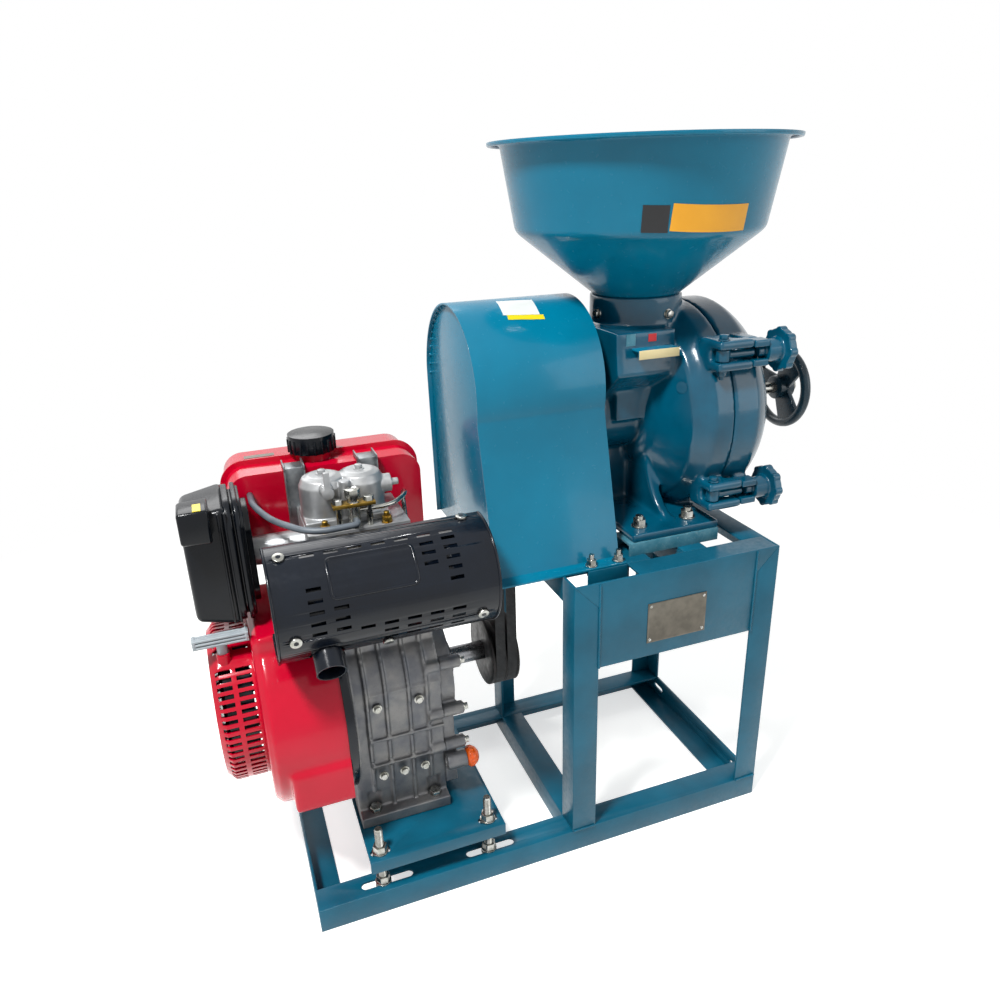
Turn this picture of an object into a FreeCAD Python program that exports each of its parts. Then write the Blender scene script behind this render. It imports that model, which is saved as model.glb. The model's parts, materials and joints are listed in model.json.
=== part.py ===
"""Grain grinder: disc mill, hopper and engine on a welded angle stand.

Millimetres. +X runs along the shafts from the engine to the mill, +Y runs away from the
engine's silencer side, +Z is up. The origin is on the floor, under the middle of the machine.
"""
import FreeCAD, Part
import Sketcher
import math
import os

V = FreeCAD.Vector
DOC = FreeCAD.newDocument("grain_grinder")
SHEET = DOC.addObject("Spreadsheet::Sheet", "sizes")
NODES = []


class Size:
    """A number from the sheet, or worked out from it, with the formula that gives it."""

    def __init__(self, value, text):
        self.value = value
        self.text = text

    def __add__(self, other):
        value, text = number_and_text(other)
        return Size(self.value + value, f"({self.text} + {text})")

    def __radd__(self, other):
        return self + other

    def __sub__(self, other):
        value, text = number_and_text(other)
        return Size(self.value - value, f"({self.text} - {text})")

    def __rsub__(self, other):
        value, text = number_and_text(other)
        return Size(value - self.value, f"({text} - {self.text})")

    def __mul__(self, other):
        value, text = number_and_text(other)
        return Size(self.value * value, f"({self.text} * {text})")

    def __rmul__(self, other):
        return self * other

    def __truediv__(self, other):
        value, text = number_and_text(other)
        return Size(self.value / value, f"({self.text} / {text})")

    def __neg__(self):
        return Size(-self.value, f"(0 - {self.text})")

    def __float__(self):
        return float(self.value)


def number_and_text(item):
    """Give an item's number and the text that stands for it in a formula."""
    if isinstance(item, Size):
        return item.value, item.text
    return float(item), f"({float(item)!r})"


def cosine(angle):
    """Cosine of an angle in degrees."""
    value, text = number_and_text(angle)
    return Size(math.cos(math.radians(value)), f"cos({text})")


def sine(angle):
    """Sine of an angle in degrees."""
    value, text = number_and_text(angle)
    return Size(math.sin(math.radians(value)), f"sin({text})")


def root(item):
    """Square root of a size."""
    value, text = number_and_text(item)
    return Size(math.sqrt(value), f"sqrt({text})")


class Sheet:
    """Driving dimensions, kept in the document's spreadsheet and read back as sizes."""

    def __init__(self):
        self.row = 0

    def add(self, **values):
        """Write named numbers to the sheet and keep each as an attribute."""
        for name, value in values.items():
            self.row += 1
            SHEET.set(f"A{self.row}", name)
            SHEET.set(f"B{self.row}", str(value))
            SHEET.setAlias(f"B{self.row}", name)
            setattr(self, name, Size(float(value), f"sizes.{name}"))


S = Sheet()

# Place of the stand in the part's frame
S.add(origin_x=-36, origin_y=-23)

# Stand of angle iron
S.add(stand_len=745, stand_wid=355, stand_top=475, leg_w=40, leg_t=4, bay_x=27.5,
      plate_drop=140, bearer_x1=132, bearer_x2=229, carrier_y=-140, slot_w=10,
      wheel_slot_len=32, wheel_slot_in=48, bar_x=146, bar_len=154, bar_h=20, bar_w=48,
      bar_t=4)

# Engine mounting plate and its studs
S.add(plate_x=-292, plate_len=207, plate_wid=354, plate_top=97, plate_t=6, lip_h=20,
      stud_x1=-274, stud_x2=-107, stud_y=157.5, stud_r=6, stud_low=22, stud_high=140,
      stud_slot_len=78, slot_over=34, nut_af=18, nut_h=10, washer_r=12, washer_t=2.5,
      hole_gap=0.5)

# Engine
S.add(crank_y=-5, crank_z=297, shaft_r=15, run_gap=0.05, air_gap=0.3,
      case_x=-288, case_len=138, case_foot_y=-107, case_foot_h=18, case_half=95,
      case_neck=66, case_top=405, rib_t=4, rib_h=4, rib_x1=-262, rib_x2=-234, rib_x3=-200, rib_x4=-173,
      level_z1=195, level_z2=240, level_z3=319, boss_r3=10, boss_x=-172, side_cover_t=38, side_cover_r=84,
      foot_bolt_r=5,
      bore_x=-228, fin_half_x=59, fin_half_y=58, fin_t=3, fin_pitch=9, fin_count=10,
      barrel_r=52, head_z=505, head_h=62, head_x=-310, rocker_x=-250, rocker_h=56,
      rocker_r=33, rocker_off=26, lever_up=53, inj_x=-244, inj_y=-50,
      shroud_x=-405, shroud_len=105, shroud_r=150, shroud_top=446, shroud_t=3,
      shroud_back_t=12, shroud_half_top=84,
      bulge_out=150, bulge_wide=62, bulge_low=203, bulge_high=91, bulge_x=-381, step=7,
      recoil_x=-462, recoil_len=57, recoil_r=115, recoil_z=312, vent_count=64,
      vent_w=6, vent_len=20, vent_gap=6.5,
      fly_x=-386, fly_len=46, fly_r=112, fly_web=16,
      grip_x=-441, grip_y=-62, grip_z=444, grip_len=72, grip_r=9, grip_neck=22,
      pulley_x=-33, groove_pitch=19, pulley_edge=12.5, engine_pulley_r=57,
      mill_pulley_r=101, groove_depth=13, belt_top=16, belt_h=10, belt_angle=19,
      tank_x=-402, tank_len=282, tank_wid=116, tank_z=484, tank_h=140,
      tank_round=30, seam_w=8, seam_t=4, cap_x=-272, cap_r=34, cap_h=26,
      strap_w=30, strap_t=3, strap_over=26, strap_x1=-322, strap_x2=-216,
      cleaner_x=-462, cleaner_len=82, cleaner_y=-60, cleaner_wid=112, cleaner_z=456,
      cleaner_h=170, cleaner_round=34,
      silencer_y=-130, silencer_z=515, silencer_r=58, shield_x=-375, shield_len=285,
      shield_r=75, shield_t=1.5, shield_open=100, perf_len=18, perf_w=5, shield_screw_r=3, drum_in=6, perf_start=42, perf_pitch=29.5, tail_x=-316, tail_r=19, tail_len=30, tail_t=2,
      hose_r=4.5, pipe_r=3.2, oil_x=-118, oil_y=-97, oil_z=172, oil_r=13.5)

# Belt guard
S.add(guard_x=-66, guard_len=196, guard_front=-116, guard_rear=178, guard_cy=62,
      guard_cz=715, guard_r=125, guard_t=2.5, flange_w=24, flange_t=3, panel_in=6,
      guard_bolt_x1=78, guard_bolt_x2=122, guard_bolt_y=-128, guard_bolt_r=4)

# Mill
S.add(mill_y=40, mill_z=657, seam_x=311, drum_r=166, chamber_r=150, barrel_x=56,
      mill_barrel_r=57, neck_x=214, mill_shaft_r=18, bearing_r=36, bearing_w=19,
      auger_r=44, chamber_x=268, disc_r=138, disc_bore=46, disc_t=12, disc_gap=1.5,
      cover_len=105, cover_wall=9, boss_r=30, boss_len=30, screw_r=10, screw_len=118,
      screw_pitch=2, wheel_x=525, wheel_r=70, wheel_rim=8, wheel_web=6, hub_r=17,
      clamp_r=190, clamp_tilt=34, clamp_pivot_x=286, swing_r=6, swing_slot=18,
      lug_w=44, fork_end=330, lug_end=356, knob_r=30, knob_lobe=7, knob_len=34, knob_t=12, knob_lobes=8,
      hinge_y=181, hinge_r=14, hinge_pin_r=6, hinge_span=70,
      foot_x=152, foot_len=150, foot_half=158, foot_t=12, web_t=16,
      mill_bolt_x=262, mill_bolt_in=29, mill_bolt_r=6,
      box_x=150, box_len=96, box_front=-62, box_top=795, crown_x=166, crown_len=134, throat_r=58,
      gate_z=770, gate_t=3, gate_x=174, gate_len=66, gate_front=-78, gate_back=96,
      gate_lip=10, spout_x=274, spout_len=56, spout_half=52, spout_flange=9, spout_low=420, spout_t=3)

# Hopper
S.add(hopper_x=232, hopper_spigot_r=56, hopper_low=798, hopper_neck_z=838,
      hopper_neck_r=66, hopper_knee_z=930, hopper_knee_r=183, hopper_top=1052,
      hopper_wall_r=204, hopper_lip_r=222, hopper_t=2.5)

HALF_LEN = S.stand_len / 2
HALF_WID = S.stand_wid / 2
STRAP_Y = S.fin_half_y
TANK_Y = STRAP_Y + S.strap_t
CASE_END = S.case_x + S.case_len
OUTLET_Z = S.mill_z - S.drum_r - S.spout_flange - S.air_gap
COVER_BOSSES = ((-86, 342), (-92, 263), (-90, 200), (84, 342), (90, 263))
GUIDE_ANGLE = math.degrees(math.asin(float((S.crank_y - S.grip_y) / S.recoil_r)))
TURN_TO = {
    "x": FreeCAD.Rotation(V(0, 1, 0), 90),
    "y": FreeCAD.Rotation(V(1, 0, 0), -90),
    "z": FreeCAD.Rotation(),
}


# Small helpers that bind a document object's properties to the sheet
def bind(item, prop, size):
    """Tie a property to a size's formula, or set a plain number."""
    if isinstance(size, Size):
        item.setExpression(prop, size.text)
    else:
        setattr(item, prop, size)


def place(item, at, turn=None):
    """Put an object at a point of the stand's own frame."""
    item.Placement = FreeCAD.Placement(V(0, 0, 0), turn or FreeCAD.Rotation())
    for axis, size, shift in zip("xyz", at, (S.origin_x, S.origin_y, as_size(0))):
        item.setExpression(f"Placement.Base.{axis}", (shift + size).text)
    return item


def as_size(item):
    """Turn a plain number into a size, so that it can stand in a formula."""
    value, text = number_and_text(item)
    return Size(value, text)


def box(name, size, at):
    """Block with its lowest corner at a point."""
    item = DOC.addObject("Part::Box", name)
    for prop, length in zip(("Length", "Width", "Height"), size):
        bind(item, prop, as_size(length))
    return place(item, at)


def rod(name, radius, length, at, axis="z", turn=None):
    """Cylinder that starts at a point and runs along an axis."""
    item = DOC.addObject("Part::Cylinder", name)
    bind(item, "Radius", as_size(radius))
    bind(item, "Height", as_size(length))
    return place(item, at, turn or TURN_TO[axis])


def ring(name, outer, inner, length, at, axis="z"):
    """Tube that starts at a point and runs along an axis."""
    return cut(name, rod(name + "_outer", outer, length, at, axis),
               rod(name + "_bore", inner, length, at, axis))


def hexagon(name, across, height, at, axis="z"):
    """Hexagonal prism, given across its flats."""
    item = DOC.addObject("Part::Prism", name)
    item.Polygon = 6
    bind(item, "Circumradius", as_size(across) / math.sqrt(3))
    bind(item, "Height", as_size(height))
    return place(item, at, TURN_TO[axis])


def joined(name, *parts):
    """Fuse parts into one solid."""
    item = DOC.addObject("Part::MultiFuse", name)
    item.Shapes = list(parts)
    item.Refine = True
    return item


def cut(name, base, *tools):
    """Take one or more tools away from a base."""
    item = DOC.addObject("Part::Cut", name)
    item.Base = base
    item.Refine = True
    if len(tools) == 1:
        item.Tool = tools[0]
    else:
        gathered = DOC.addObject("Part::Compound", name + "_tools")
        gathered.Links = list(tools)
        item.Tool = gathered
    return item


def shared(name, *parts):
    """Keep only what all the parts share."""
    item = DOC.addObject("Part::MultiCommon", name)
    item.Shapes = list(parts)
    return item


def group(name, parts):
    """Hold separate solids in one object."""
    item = DOC.addObject("Part::Compound", name)
    item.Links = list(parts)
    return item


def keep(item, label):
    """Name a finished sub-part and list it for export."""
    item.Label = label
    NODES.append(item)
    return item


def add_outline(sketch, points):
    """Draw a closed outline whose every corner is tied to the sheet.

    A point is (across, up) after a straight run, or (across, up, radius) after an arc that
    turns left for a positive radius and right for a negative one.
    """
    count = len(points)
    spots = [V(float(p[0]), float(p[1]), 0) for p in points]
    ends = []
    for k in range(count):
        start = spots[k - 1]
        end = spots[k]
        if len(points[k]) == 3:
            radius = float(points[k][2])
            chord = end - start
            half = chord.Length / 2
            side = V(-chord.y, chord.x, 0).normalize()
            rise = math.sqrt(radius * radius - half * half)
            centre = start + chord * 0.5 + side * (rise if radius > 0 else -rise)
            first = math.atan2(start.y - centre.y, start.x - centre.x)
            last = math.atan2(end.y - centre.y, end.x - centre.x)
            if radius < 0:
                first, last = last, first
            if last < first:
                last += 2 * math.pi
            circle = Part.Circle(centre, V(0, 0, 1), abs(radius))
            sketch.addGeometry(Part.ArcOfCircle(circle, first, last))
            ends.append((1, 2) if radius > 0 else (2, 1))
        else:
            sketch.addGeometry(Part.LineSegment(start, end))
            ends.append((1, 2))
    for k in range(count):
        after = (k + 1) % count
        sketch.addConstraint(Sketcher.Constraint("Coincident", k, ends[k][1], after, ends[after][0]))
        for letter, kind, size in (("u", "DistanceX", points[k][0]), ("v", "DistanceY", points[k][1])):
            number = sketch.addConstraint(
                Sketcher.Constraint(kind, -1, 1, k, ends[k][1], float(size)))
            tie(sketch, number, f"{letter}{k}", size)
        if len(points[k]) == 3:
            radius = points[k][2]
            if float(radius) < 0:
                radius = -radius
            number = sketch.addConstraint(Sketcher.Constraint("Radius", k, float(radius)))
            tie(sketch, number, f"r{k}", radius)


def tie(sketch, number, name, size):
    """Name a constraint and bind it to its size's formula."""
    sketch.renameConstraint(number, name)
    if isinstance(size, Size):
        sketch.setExpression(f"Constraints.{name}", size.text)


def rounded_outline(left, low, right, high, radius):
    """Rectangle with four rounded corners."""
    radius = as_size(radius)
    return [(right - radius, low), (right, low + radius, radius), (right, high - radius),
            (right - radius, high, radius), (left + radius, high), (left, high - radius, radius),
            (left, low + radius), (left + radius, low, radius)]


def drawn_body(name, plane, points):
    """Body with a sketch of an outline on one of its own planes."""
    body = DOC.addObject("PartDesign::Body", name)
    support = [item for item in body.Origin.OriginFeatures if item.Role == plane + "_Plane"][0]
    sketch = body.newObject("Sketcher::SketchObject", name + "_sketch")
    sketch.AttachmentSupport = [(support, "")]
    sketch.MapMode = "FlatFace"
    add_outline(sketch, points)
    return body, sketch


def pad(name, plane, points, depth, at=(0, 0, 0)):
    """Outline on a plane, given depth towards the plane's positive side."""
    body, sketch = drawn_body(name, plane, points)
    feature = body.newObject("PartDesign::Pad", name + "_pad")
    feature.Profile = sketch
    feature.Reversed = plane == "XZ"
    bind(feature, "Length", as_size(depth))
    return place(body, at)


def turned(name, points, at, axis="x"):
    """Outline of (along, radius) for an X axis, or (radius, along) for Z, turned about it."""
    body, sketch = drawn_body(name, "XZ", points)
    feature = body.newObject("PartDesign::Revolution", name + "_turn")
    feature.Profile = sketch
    feature.ReferenceAxis = (sketch, ["H_Axis" if axis == "x" else "V_Axis"])
    feature.Angle = 360
    return place(body, at)


def angle_bar(name, length, at, flange_up, web_low, along="x", flip=False):
    """Length of angle iron along X or Y, with its flange at the top or the bottom.

    flip puts the upright leg on the far side of the flange.
    """
    wide, thick = S.leg_w, S.leg_t
    if flange_up:
        outline = [(0, web_low), (thick, web_low), (thick, wide - thick), (wide, wide - thick),
                   (wide, wide), (0, wide)]
    else:
        outline = [(0, 0), (wide, 0), (wide, thick), (thick, thick), (thick, wide), (0, wide)]
    if flip:
        outline = [(wide - u, v) for u, v in outline][::-1]
    plane = "YZ" if along == "x" else "XZ"
    return pad(name, plane, outline, length, at)


def slot_tool(name, length, width, depth, at, axis):
    """Long hole with round ends; at is its middle, on the face that it starts from."""
    x, y, z = at
    half = length / 2 - width / 2
    if axis == "z":
        middle = box(name + "_mid", (2 * half, width, depth), (x - half, y - width / 2, z))
        spots = [(x + side * half, y, z) for side in (-1, 1)]
    else:
        middle = box(name + "_mid", (depth, 2 * half, width), (x, y - half, z - width / 2))
        spots = [(x, y + side * half, z) for side in (-1, 1)]
    ends = [rod(f"{name}_end{k}", width / 2, depth, spot, axis) for k, spot in enumerate(spots)]
    return joined(name, middle, *ends)


# Stand
def make_base_rails():
    """Four floor rails and the cross rail between the legs."""
    wide, thick = S.leg_w, S.leg_t
    inner = HALF_WID - wide
    for label, sign in (("base_front_rail", -1), ("base_rear_rail", 1)):
        edge = -HALF_WID if sign < 0 else HALF_WID - wide
        bar = angle_bar(label + "_bar", S.stand_len, (-HALF_LEN, edge, 0), True, 0, "x", sign > 0)
        slots = [slot_tool(f"{label}_slot{k}", S.stud_slot_len, S.slot_w + 4, 3 * thick,
                           (spot, sign * S.stud_y, wide - 2 * thick), "z")
                 for k, spot in enumerate((S.stud_x1 + 6, S.stud_x2 + 2))]
        keep(cut(label, bar, *slots), label)
    for label, sign in (("base_left_rail", -1), ("base_right_rail", 1)):
        edge = -HALF_LEN if sign < 0 else HALF_LEN - wide
        bar = angle_bar(label + "_bar", 2 * (HALF_WID - thick), (edge, thick - HALF_WID, 0),
                        False, 0, "y", sign > 0)
        upright = -HALF_LEN if sign < 0 else HALF_LEN - thick
        tools = [box(f"{label}_notch{k}", (thick, wide, thick), (upright, y, wide - thick))
                 for k, y in enumerate((-HALF_WID, inner))]
        if sign > 0:
            tools += [slot_tool(f"{label}_slot{k}", S.wheel_slot_len, S.slot_w, thick,
                                (upright, side * (HALF_WID - S.wheel_slot_in), wide / 2), "x")
                      for k, side in enumerate((-1, 1))]
        keep(cut(label, bar, *tools), label)
    bar = angle_bar("cross_bar", 2 * inner, (S.bay_x, -inner, 0), True, 0, "y")
    tail = box("cross_tail", (thick, 2 * (HALF_WID - thick), wide - thick), (S.bay_x, thick - HALF_WID, 0))
    keep(joined("base_cross_rail", bar, tail), "base_cross_rail")


def post_leg(name, corner_x, side_x, side_y):
    """One upright of the stand, mitred at its top where the top rail meets it."""
    wide, thick, top = S.leg_w, S.leg_t, S.stand_top
    far = corner_x + wide if side_x > 0 else corner_x - wide
    face_y = -HALF_WID if side_y < 0 else HALF_WID - thick
    face = [(corner_x, wide), (far, wide), (far, top - wide), (corner_x, top)]
    if side_x < 0:
        face = face[::-1]
    front = pad(name + "_face", "XZ", face, thick, (0, face_y, 0))
    x = corner_x if side_x > 0 else corner_x - thick
    y = thick - HALF_WID if side_y < 0 else HALF_WID - wide
    side = box(name + "_side", (thick, wide - thick, top - wide), (x, y, wide))
    return joined(name, front, side)


def make_posts():
    """Two front and two rear uprights."""
    for label, side_y in (("front_posts", -1), ("rear_posts", 1)):
        posts = [post_leg(f"{label}_{k}", corner, side, side_y)
                 for k, (corner, side) in enumerate(((S.bay_x, 1), (HALF_LEN, -1)))]
        keep(group(label, posts), label)


def top_panel(name, drop, face_y):
    """Upright face between two posts, mitred into both of them."""
    wide, top = S.leg_w, S.stand_top
    left, right = S.bay_x, HALF_LEN
    low = top - drop
    outline = [(left + wide, low), (right - wide, low), (right - wide, top - wide), (right, top),
               (left, top), (left + wide, top - wide)]
    if float(drop) == float(wide):
        outline = [(left + wide, low), (right - wide, low), (right, top), (left, top)]
    return pad(name, "XZ", outline, S.leg_t, (0, face_y, 0))


def make_top_frame():
    """Name plate panel at the front, and the angle rails at the rear and the sides."""
    wide, thick, top = S.leg_w, S.leg_t, S.stand_top
    inner = HALF_WID - wide
    right = HALF_LEN - thick
    panel = top_panel("front_panel", S.plate_drop, -HALF_WID)
    flange = box("front_flange", (right - S.bearer_x1, wide - thick, thick),
                 (S.bearer_x1, thick - HALF_WID, top - thick))
    keep(joined("top_front_plate", panel, flange), "top_front_plate")
    rear = top_panel("rear_panel", wide, HALF_WID - thick)
    rear_flange = box("rear_flange", (right - S.bay_x - thick, wide - thick, thick),
                      (S.bay_x + thick, inner, top - thick))
    rails = [joined("rear_rail", rear, rear_flange)]
    for k, (x, flip) in enumerate(((S.bay_x, False), (HALF_LEN - wide, True))):
        rails.append(angle_bar(f"side_rail{k}", 2 * inner, (x, -inner, top - wide), True, 0, "y", flip))
    keep(group("top_rails", rails), "top_rails")


def make_bearers():
    """Angles across the top frame, the guard's bracket, and the bars that carry the mill."""
    wide, thick, top = S.leg_w, S.leg_t, S.stand_top
    inner = HALF_WID - wide
    parts = [angle_bar(f"bearer{k}", 2 * inner, (x, -inner, top - wide), True, 0, "y")
             for k, x in enumerate((S.bearer_x1, S.bearer_x2))]
    start = S.bay_x + wide
    bracket = angle_bar("bracket_bar", S.bearer_x1 - start, (start, S.carrier_y, top - wide), True, 0, "x")
    holes = [rod(f"bracket_hole{k}", S.guard_bolt_r + S.hole_gap, 3 * thick,
                 (x, S.guard_bolt_y, top - 2 * thick))
             for k, x in enumerate((S.guard_bolt_x1, S.guard_bolt_x2))]
    parts.append(cut("guard_bracket", bracket, *holes))
    keep(group("mill_bearers", parts), "mill_bearers")
    bars = []
    for k, sign in enumerate((-1, 1)):
        low = S.mill_y + sign * (S.foot_half + 2) - (0 if sign < 0 else 1) * S.bar_w
        solid = box(f"bar{k}_solid", (S.bar_len, S.bar_w, S.bar_h), (S.bar_x, low, top))
        inside = box(f"bar{k}_inside", (S.bar_len, S.bar_w - 2 * S.bar_t, S.bar_h - S.bar_t),
                     (S.bar_x, low + S.bar_t, top))
        holes = [rod(f"bar{k}_hole{n}", S.mill_bolt_r + S.hole_gap, S.bar_h + thick, (x, y, top))
                 for n, (x, y) in enumerate(mill_foot_spots()) if n % 2 == k]
        bars.append(cut(f"support_bar{k}", solid, inside, *holes))
    keep(group("mill_support_bars", bars), "mill_support_bars")


# Engine mounting
def make_engine_mount():
    """Folded plate under the engine, four studs and their nuts and washers."""
    length, half, top, thick = S.plate_len, S.plate_wid / 2, S.plate_top, S.plate_t
    outline = [(-half, top - S.lip_h), (thick - half, top - S.lip_h), (thick - half, top - thick),
               (half - thick, top - thick), (half - thick, top - S.lip_h), (half, top - S.lip_h),
               (half, top), (-half, top)]
    sheet = pad("plate_fold", "YZ", outline, length, (S.plate_x, 0, 0))
    spots = [(x, side * S.stud_y) for x in (S.stud_x1, S.stud_x2) for side in (-1, 1)]
    holes = [slot_tool(f"plate_slot{k}", 30, 2 * (S.stud_r + S.hole_gap), 3 * thick,
                       (x, y, top - 2 * thick), "z") for k, (x, y) in enumerate(spots)]
    holes += [rod(f"plate_hole{k}", S.foot_bolt_r + S.hole_gap, 3 * thick, (x, y, top - 2 * thick))
              for k, (x, y) in enumerate(engine_foot_spots())]
    keep(cut("engine_base_plate", sheet, *holes), "engine_base_plate")
    studs = [rod(f"stud{k}", S.stud_r, S.stud_high - S.stud_low, (x, y, S.stud_low))
             for k, (x, y) in enumerate(spots)]
    keep(group("engine_mount_studs", studs), "engine_mount_studs")
    nuts = []
    rail_top, rail_under = S.leg_w, S.leg_w - S.leg_t
    for k, (x, y) in enumerate(spots):
        for letter, face, up in (("a", rail_top, 1), ("b", rail_under, -1), ("c", top, 1),
                                 ("d", top - thick, -1)):
            nuts.append(nut_on_face(f"nut{k}{letter}", x, y, face, up, S.stud_r + S.air_gap / 6))
    keep(group("engine_mount_nuts", nuts), "engine_mount_nuts")


def nut_on_face(name, x, y, face, up, bore):
    """Nut and its washer, seated on a level face from above or below."""
    washer_z = face if up > 0 else face - S.washer_t
    nut_z = face + S.washer_t if up > 0 else face - S.washer_t - S.nut_h
    washer = rod(name + "_washer", S.washer_r, S.washer_t, (x, y, washer_z))
    body = hexagon(name + "_hex", S.nut_af, S.nut_h, (x, y, nut_z))
    low = face - S.washer_t - S.nut_h
    hole = rod(name + "_hole", bore, 2 * (S.washer_t + S.nut_h), (x, y, low))
    return cut(name, joined(name + "_pair", washer, body), hole)


def engine_foot_spots():
    """Places of the four bolts that hold the crankcase down."""
    front = S.case_foot_y + 14
    rear = -front
    return [(x, y) for x in (S.case_x + 24, CASE_END - 20) for y in (front, rear)]


def mill_foot_spots():
    """Places of the four bolts that hold the mill's foot to its bars."""
    reach = S.foot_half - S.mill_bolt_in
    return [(x, S.mill_y + side * reach) for x in (S.mill_bolt_x, S.foot_x + 26) for side in (-1, 1)]


# Engine castings and covers
def case_outline(grow):
    """Crankcase outline across the engine: a wide base, a waist and a neck for the barrel."""
    half, neck, top = S.case_half + grow, S.case_neck + grow, S.case_top
    low = S.plate_top + S.case_foot_h
    mid = S.crank_z
    return [(-half + 8, low), (half - 8, low), (half, mid), (neck, top - 26, 90), (neck, top),
            (-neck, top), (-neck, top - 26), (-half, mid, 90)]


def make_crankcase():
    """Ribbed crankcase on its foot, bored for the crankshaft."""
    low = S.plate_top
    main = pad("case_main", "YZ", case_outline(0), S.case_len, (S.case_x, 0, 0))
    foot = box("case_foot", (S.case_len, -2 * S.case_foot_y, S.case_foot_h),
               (S.case_x, S.case_foot_y, low))
    ribs = [pad(f"case_rib{k}", "YZ", case_outline(S.rib_h), S.rib_t, (x - S.rib_t / 2, 0, 0))
            for k, x in enumerate((S.rib_x1, S.rib_x2, S.rib_x3, S.rib_x4))]
    for k, height in enumerate((S.level_z1, S.level_z2, S.level_z3)):
        ribs.append(box(f"case_level{k}", (CASE_END - S.rib_x1, 2 * S.case_half + S.rib_h, S.rib_t),
                        (S.rib_x1, -S.case_half - S.rib_h / 2, height)))
    ribs += [rod(f"case_boss{k}", S.boss_r3, CASE_END - S.boss_x, (S.boss_x, y, z), "x")
             for k, (y, z) in enumerate(COVER_BOSSES)]
    plate = pad("case_flange_plate", "YZ", shroud_outline(-4), 4, (S.case_x, 0, 0))
    above = box("case_flange_top", (4, 400, 100), (S.case_x, -200, S.case_top))
    ribs.append(cut("case_flange", plate, above))
    bore = rod("case_bore", S.shaft_r + S.run_gap, S.case_len, (S.case_x, S.crank_y, S.crank_z), "x")
    holes = [rod(f"case_hole{k}", S.foot_bolt_r + S.hole_gap, S.case_foot_h, (x, y, low))
             for k, (x, y) in enumerate(engine_foot_spots())]
    pockets = [rod(f"case_pocket{k}", 12, 30, (x, y, low + S.case_foot_h))
               for k, (x, y) in enumerate(engine_foot_spots())]
    body = joined("case_solid", main, foot, *ribs)
    keep(cut("crankcase", body, bore, *holes, *pockets), "crankcase")


def make_side_cover():
    """Timing side cover with the shaft's boss, bolt lugs and the oil filler's neck."""
    x, y, z = CASE_END, S.crank_y, S.crank_z
    thick, radius = S.side_cover_t, S.side_cover_r
    disc = rod("cover_disc", radius, thick * 0.6, (x, y, z), "x")
    boss = rod("cover_boss", 2 * S.shaft_r, thick, (x, y, z), "x")
    low = S.plate_top + S.case_foot_h + 12
    lower = pad("cover_lower", "YZ", [(-S.case_half + 6, low), (S.case_half - 10, low), (radius, z),
                                      (-radius, z)], thick * 0.5, (x, 0, 0))
    lugs = [rod(f"cover_lug{k}", 9, thick * 0.75,
                (x, y + radius * cosine(angle), z + radius * sine(angle)), "x")
            for k, angle in enumerate((30, 90, 330))]
    lugs += [rod(f"cover_boss{k}", S.boss_r3, thick * 0.85, (x, *spot), "x")
             for k, spot in enumerate(COVER_BOSSES)]
    neck_len = S.oil_x - x - S.air_gap
    neck = rod("oil_neck", S.oil_r, neck_len, (x, S.oil_y, S.oil_z), "x")
    web = box("oil_web", (thick * 0.5, 30, 2 * S.oil_r), (x, S.oil_y, S.oil_z - S.oil_r))
    bore = rod("cover_bore", S.shaft_r + S.run_gap, thick, (x, y, z), "x")
    fill = rod("oil_way", S.oil_r - 5 + S.run_gap, neck_len, (x, S.oil_y, S.oil_z), "x")
    solid = joined("cover_solid", disc, boss, lower, neck, web, *lugs)
    keep(cut("side_cover", solid, bore, fill), "crankcase_side_cover")


def make_cylinder():
    """Finned barrel with its head and the intake branch to the air cleaner."""
    x, y = S.bore_x, 0
    barrel = rod("barrel", S.barrel_r, S.head_z - S.case_top, (x, y, S.case_top))
    fins = [box(f"fin{k}", (2 * S.fin_half_x, 2 * S.fin_half_y, S.fin_t),
                (x - S.fin_half_x, y - S.fin_half_y, S.case_top + 6 + S.fin_pitch * k))
            for k in range(int(S.fin_count.value))]
    head = box("head", (x + S.fin_half_x - S.head_x, 2 * S.fin_half_y, S.head_h),
               (S.head_x, y - S.fin_half_y, S.head_z))
    cleaner_end = S.cleaner_x + S.cleaner_len
    intake = rod("intake", 20, S.head_x - cleaner_end + 2, (cleaner_end, y, S.head_z + 30), "x")
    keep(joined("cylinder_block", barrel, *fins, head, intake), "cylinder_block")


def make_rocker_cover():
    """Two domed bosses on one flange over the valve gear, with a side boss and a screw boss."""
    x, base = S.rocker_x, S.head_z + S.head_h
    radius, off = S.rocker_r, S.rocker_off
    flange = box("rocker_flange", (2 * (off + radius), 2 * radius + 10, 10),
                 (x - off - radius, -radius - 5, base))
    domes = [turned(f"dome{k}", [(0, 0), (radius, 0), (radius, S.rocker_h - 14), (radius - 5, S.rocker_h - 4),
                                 (radius - 14, S.rocker_h), (0, S.rocker_h)], (x + side * off, 0, base + 10), "z")
             for k, side in enumerate((-1, 1))]
    bridge = box("rocker_bridge", (2 * off, 1.4 * radius, S.rocker_h - 8),
                 (x - off, -0.7 * radius, base + 10))
    side_boss = rod("rocker_side_boss", 13, radius + 9, (x + off, -8, base + 42), "x")
    side_bolt = rod("rocker_side_bolt", 5, radius + 20, (x + off, -8, base + 42), "x")
    screw = rod("rocker_screw_boss", 8, S.rocker_h + 6, (x, -radius + 4, base))
    pivot = rod("lever_pivot_boss", 9, radius + 3, (x - off, -radius - 3, base + S.lever_up), "y")
    keep(joined("rocker_cover", flange, *domes, bridge, side_boss, side_bolt, screw, pivot), "rocker_cover")


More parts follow.
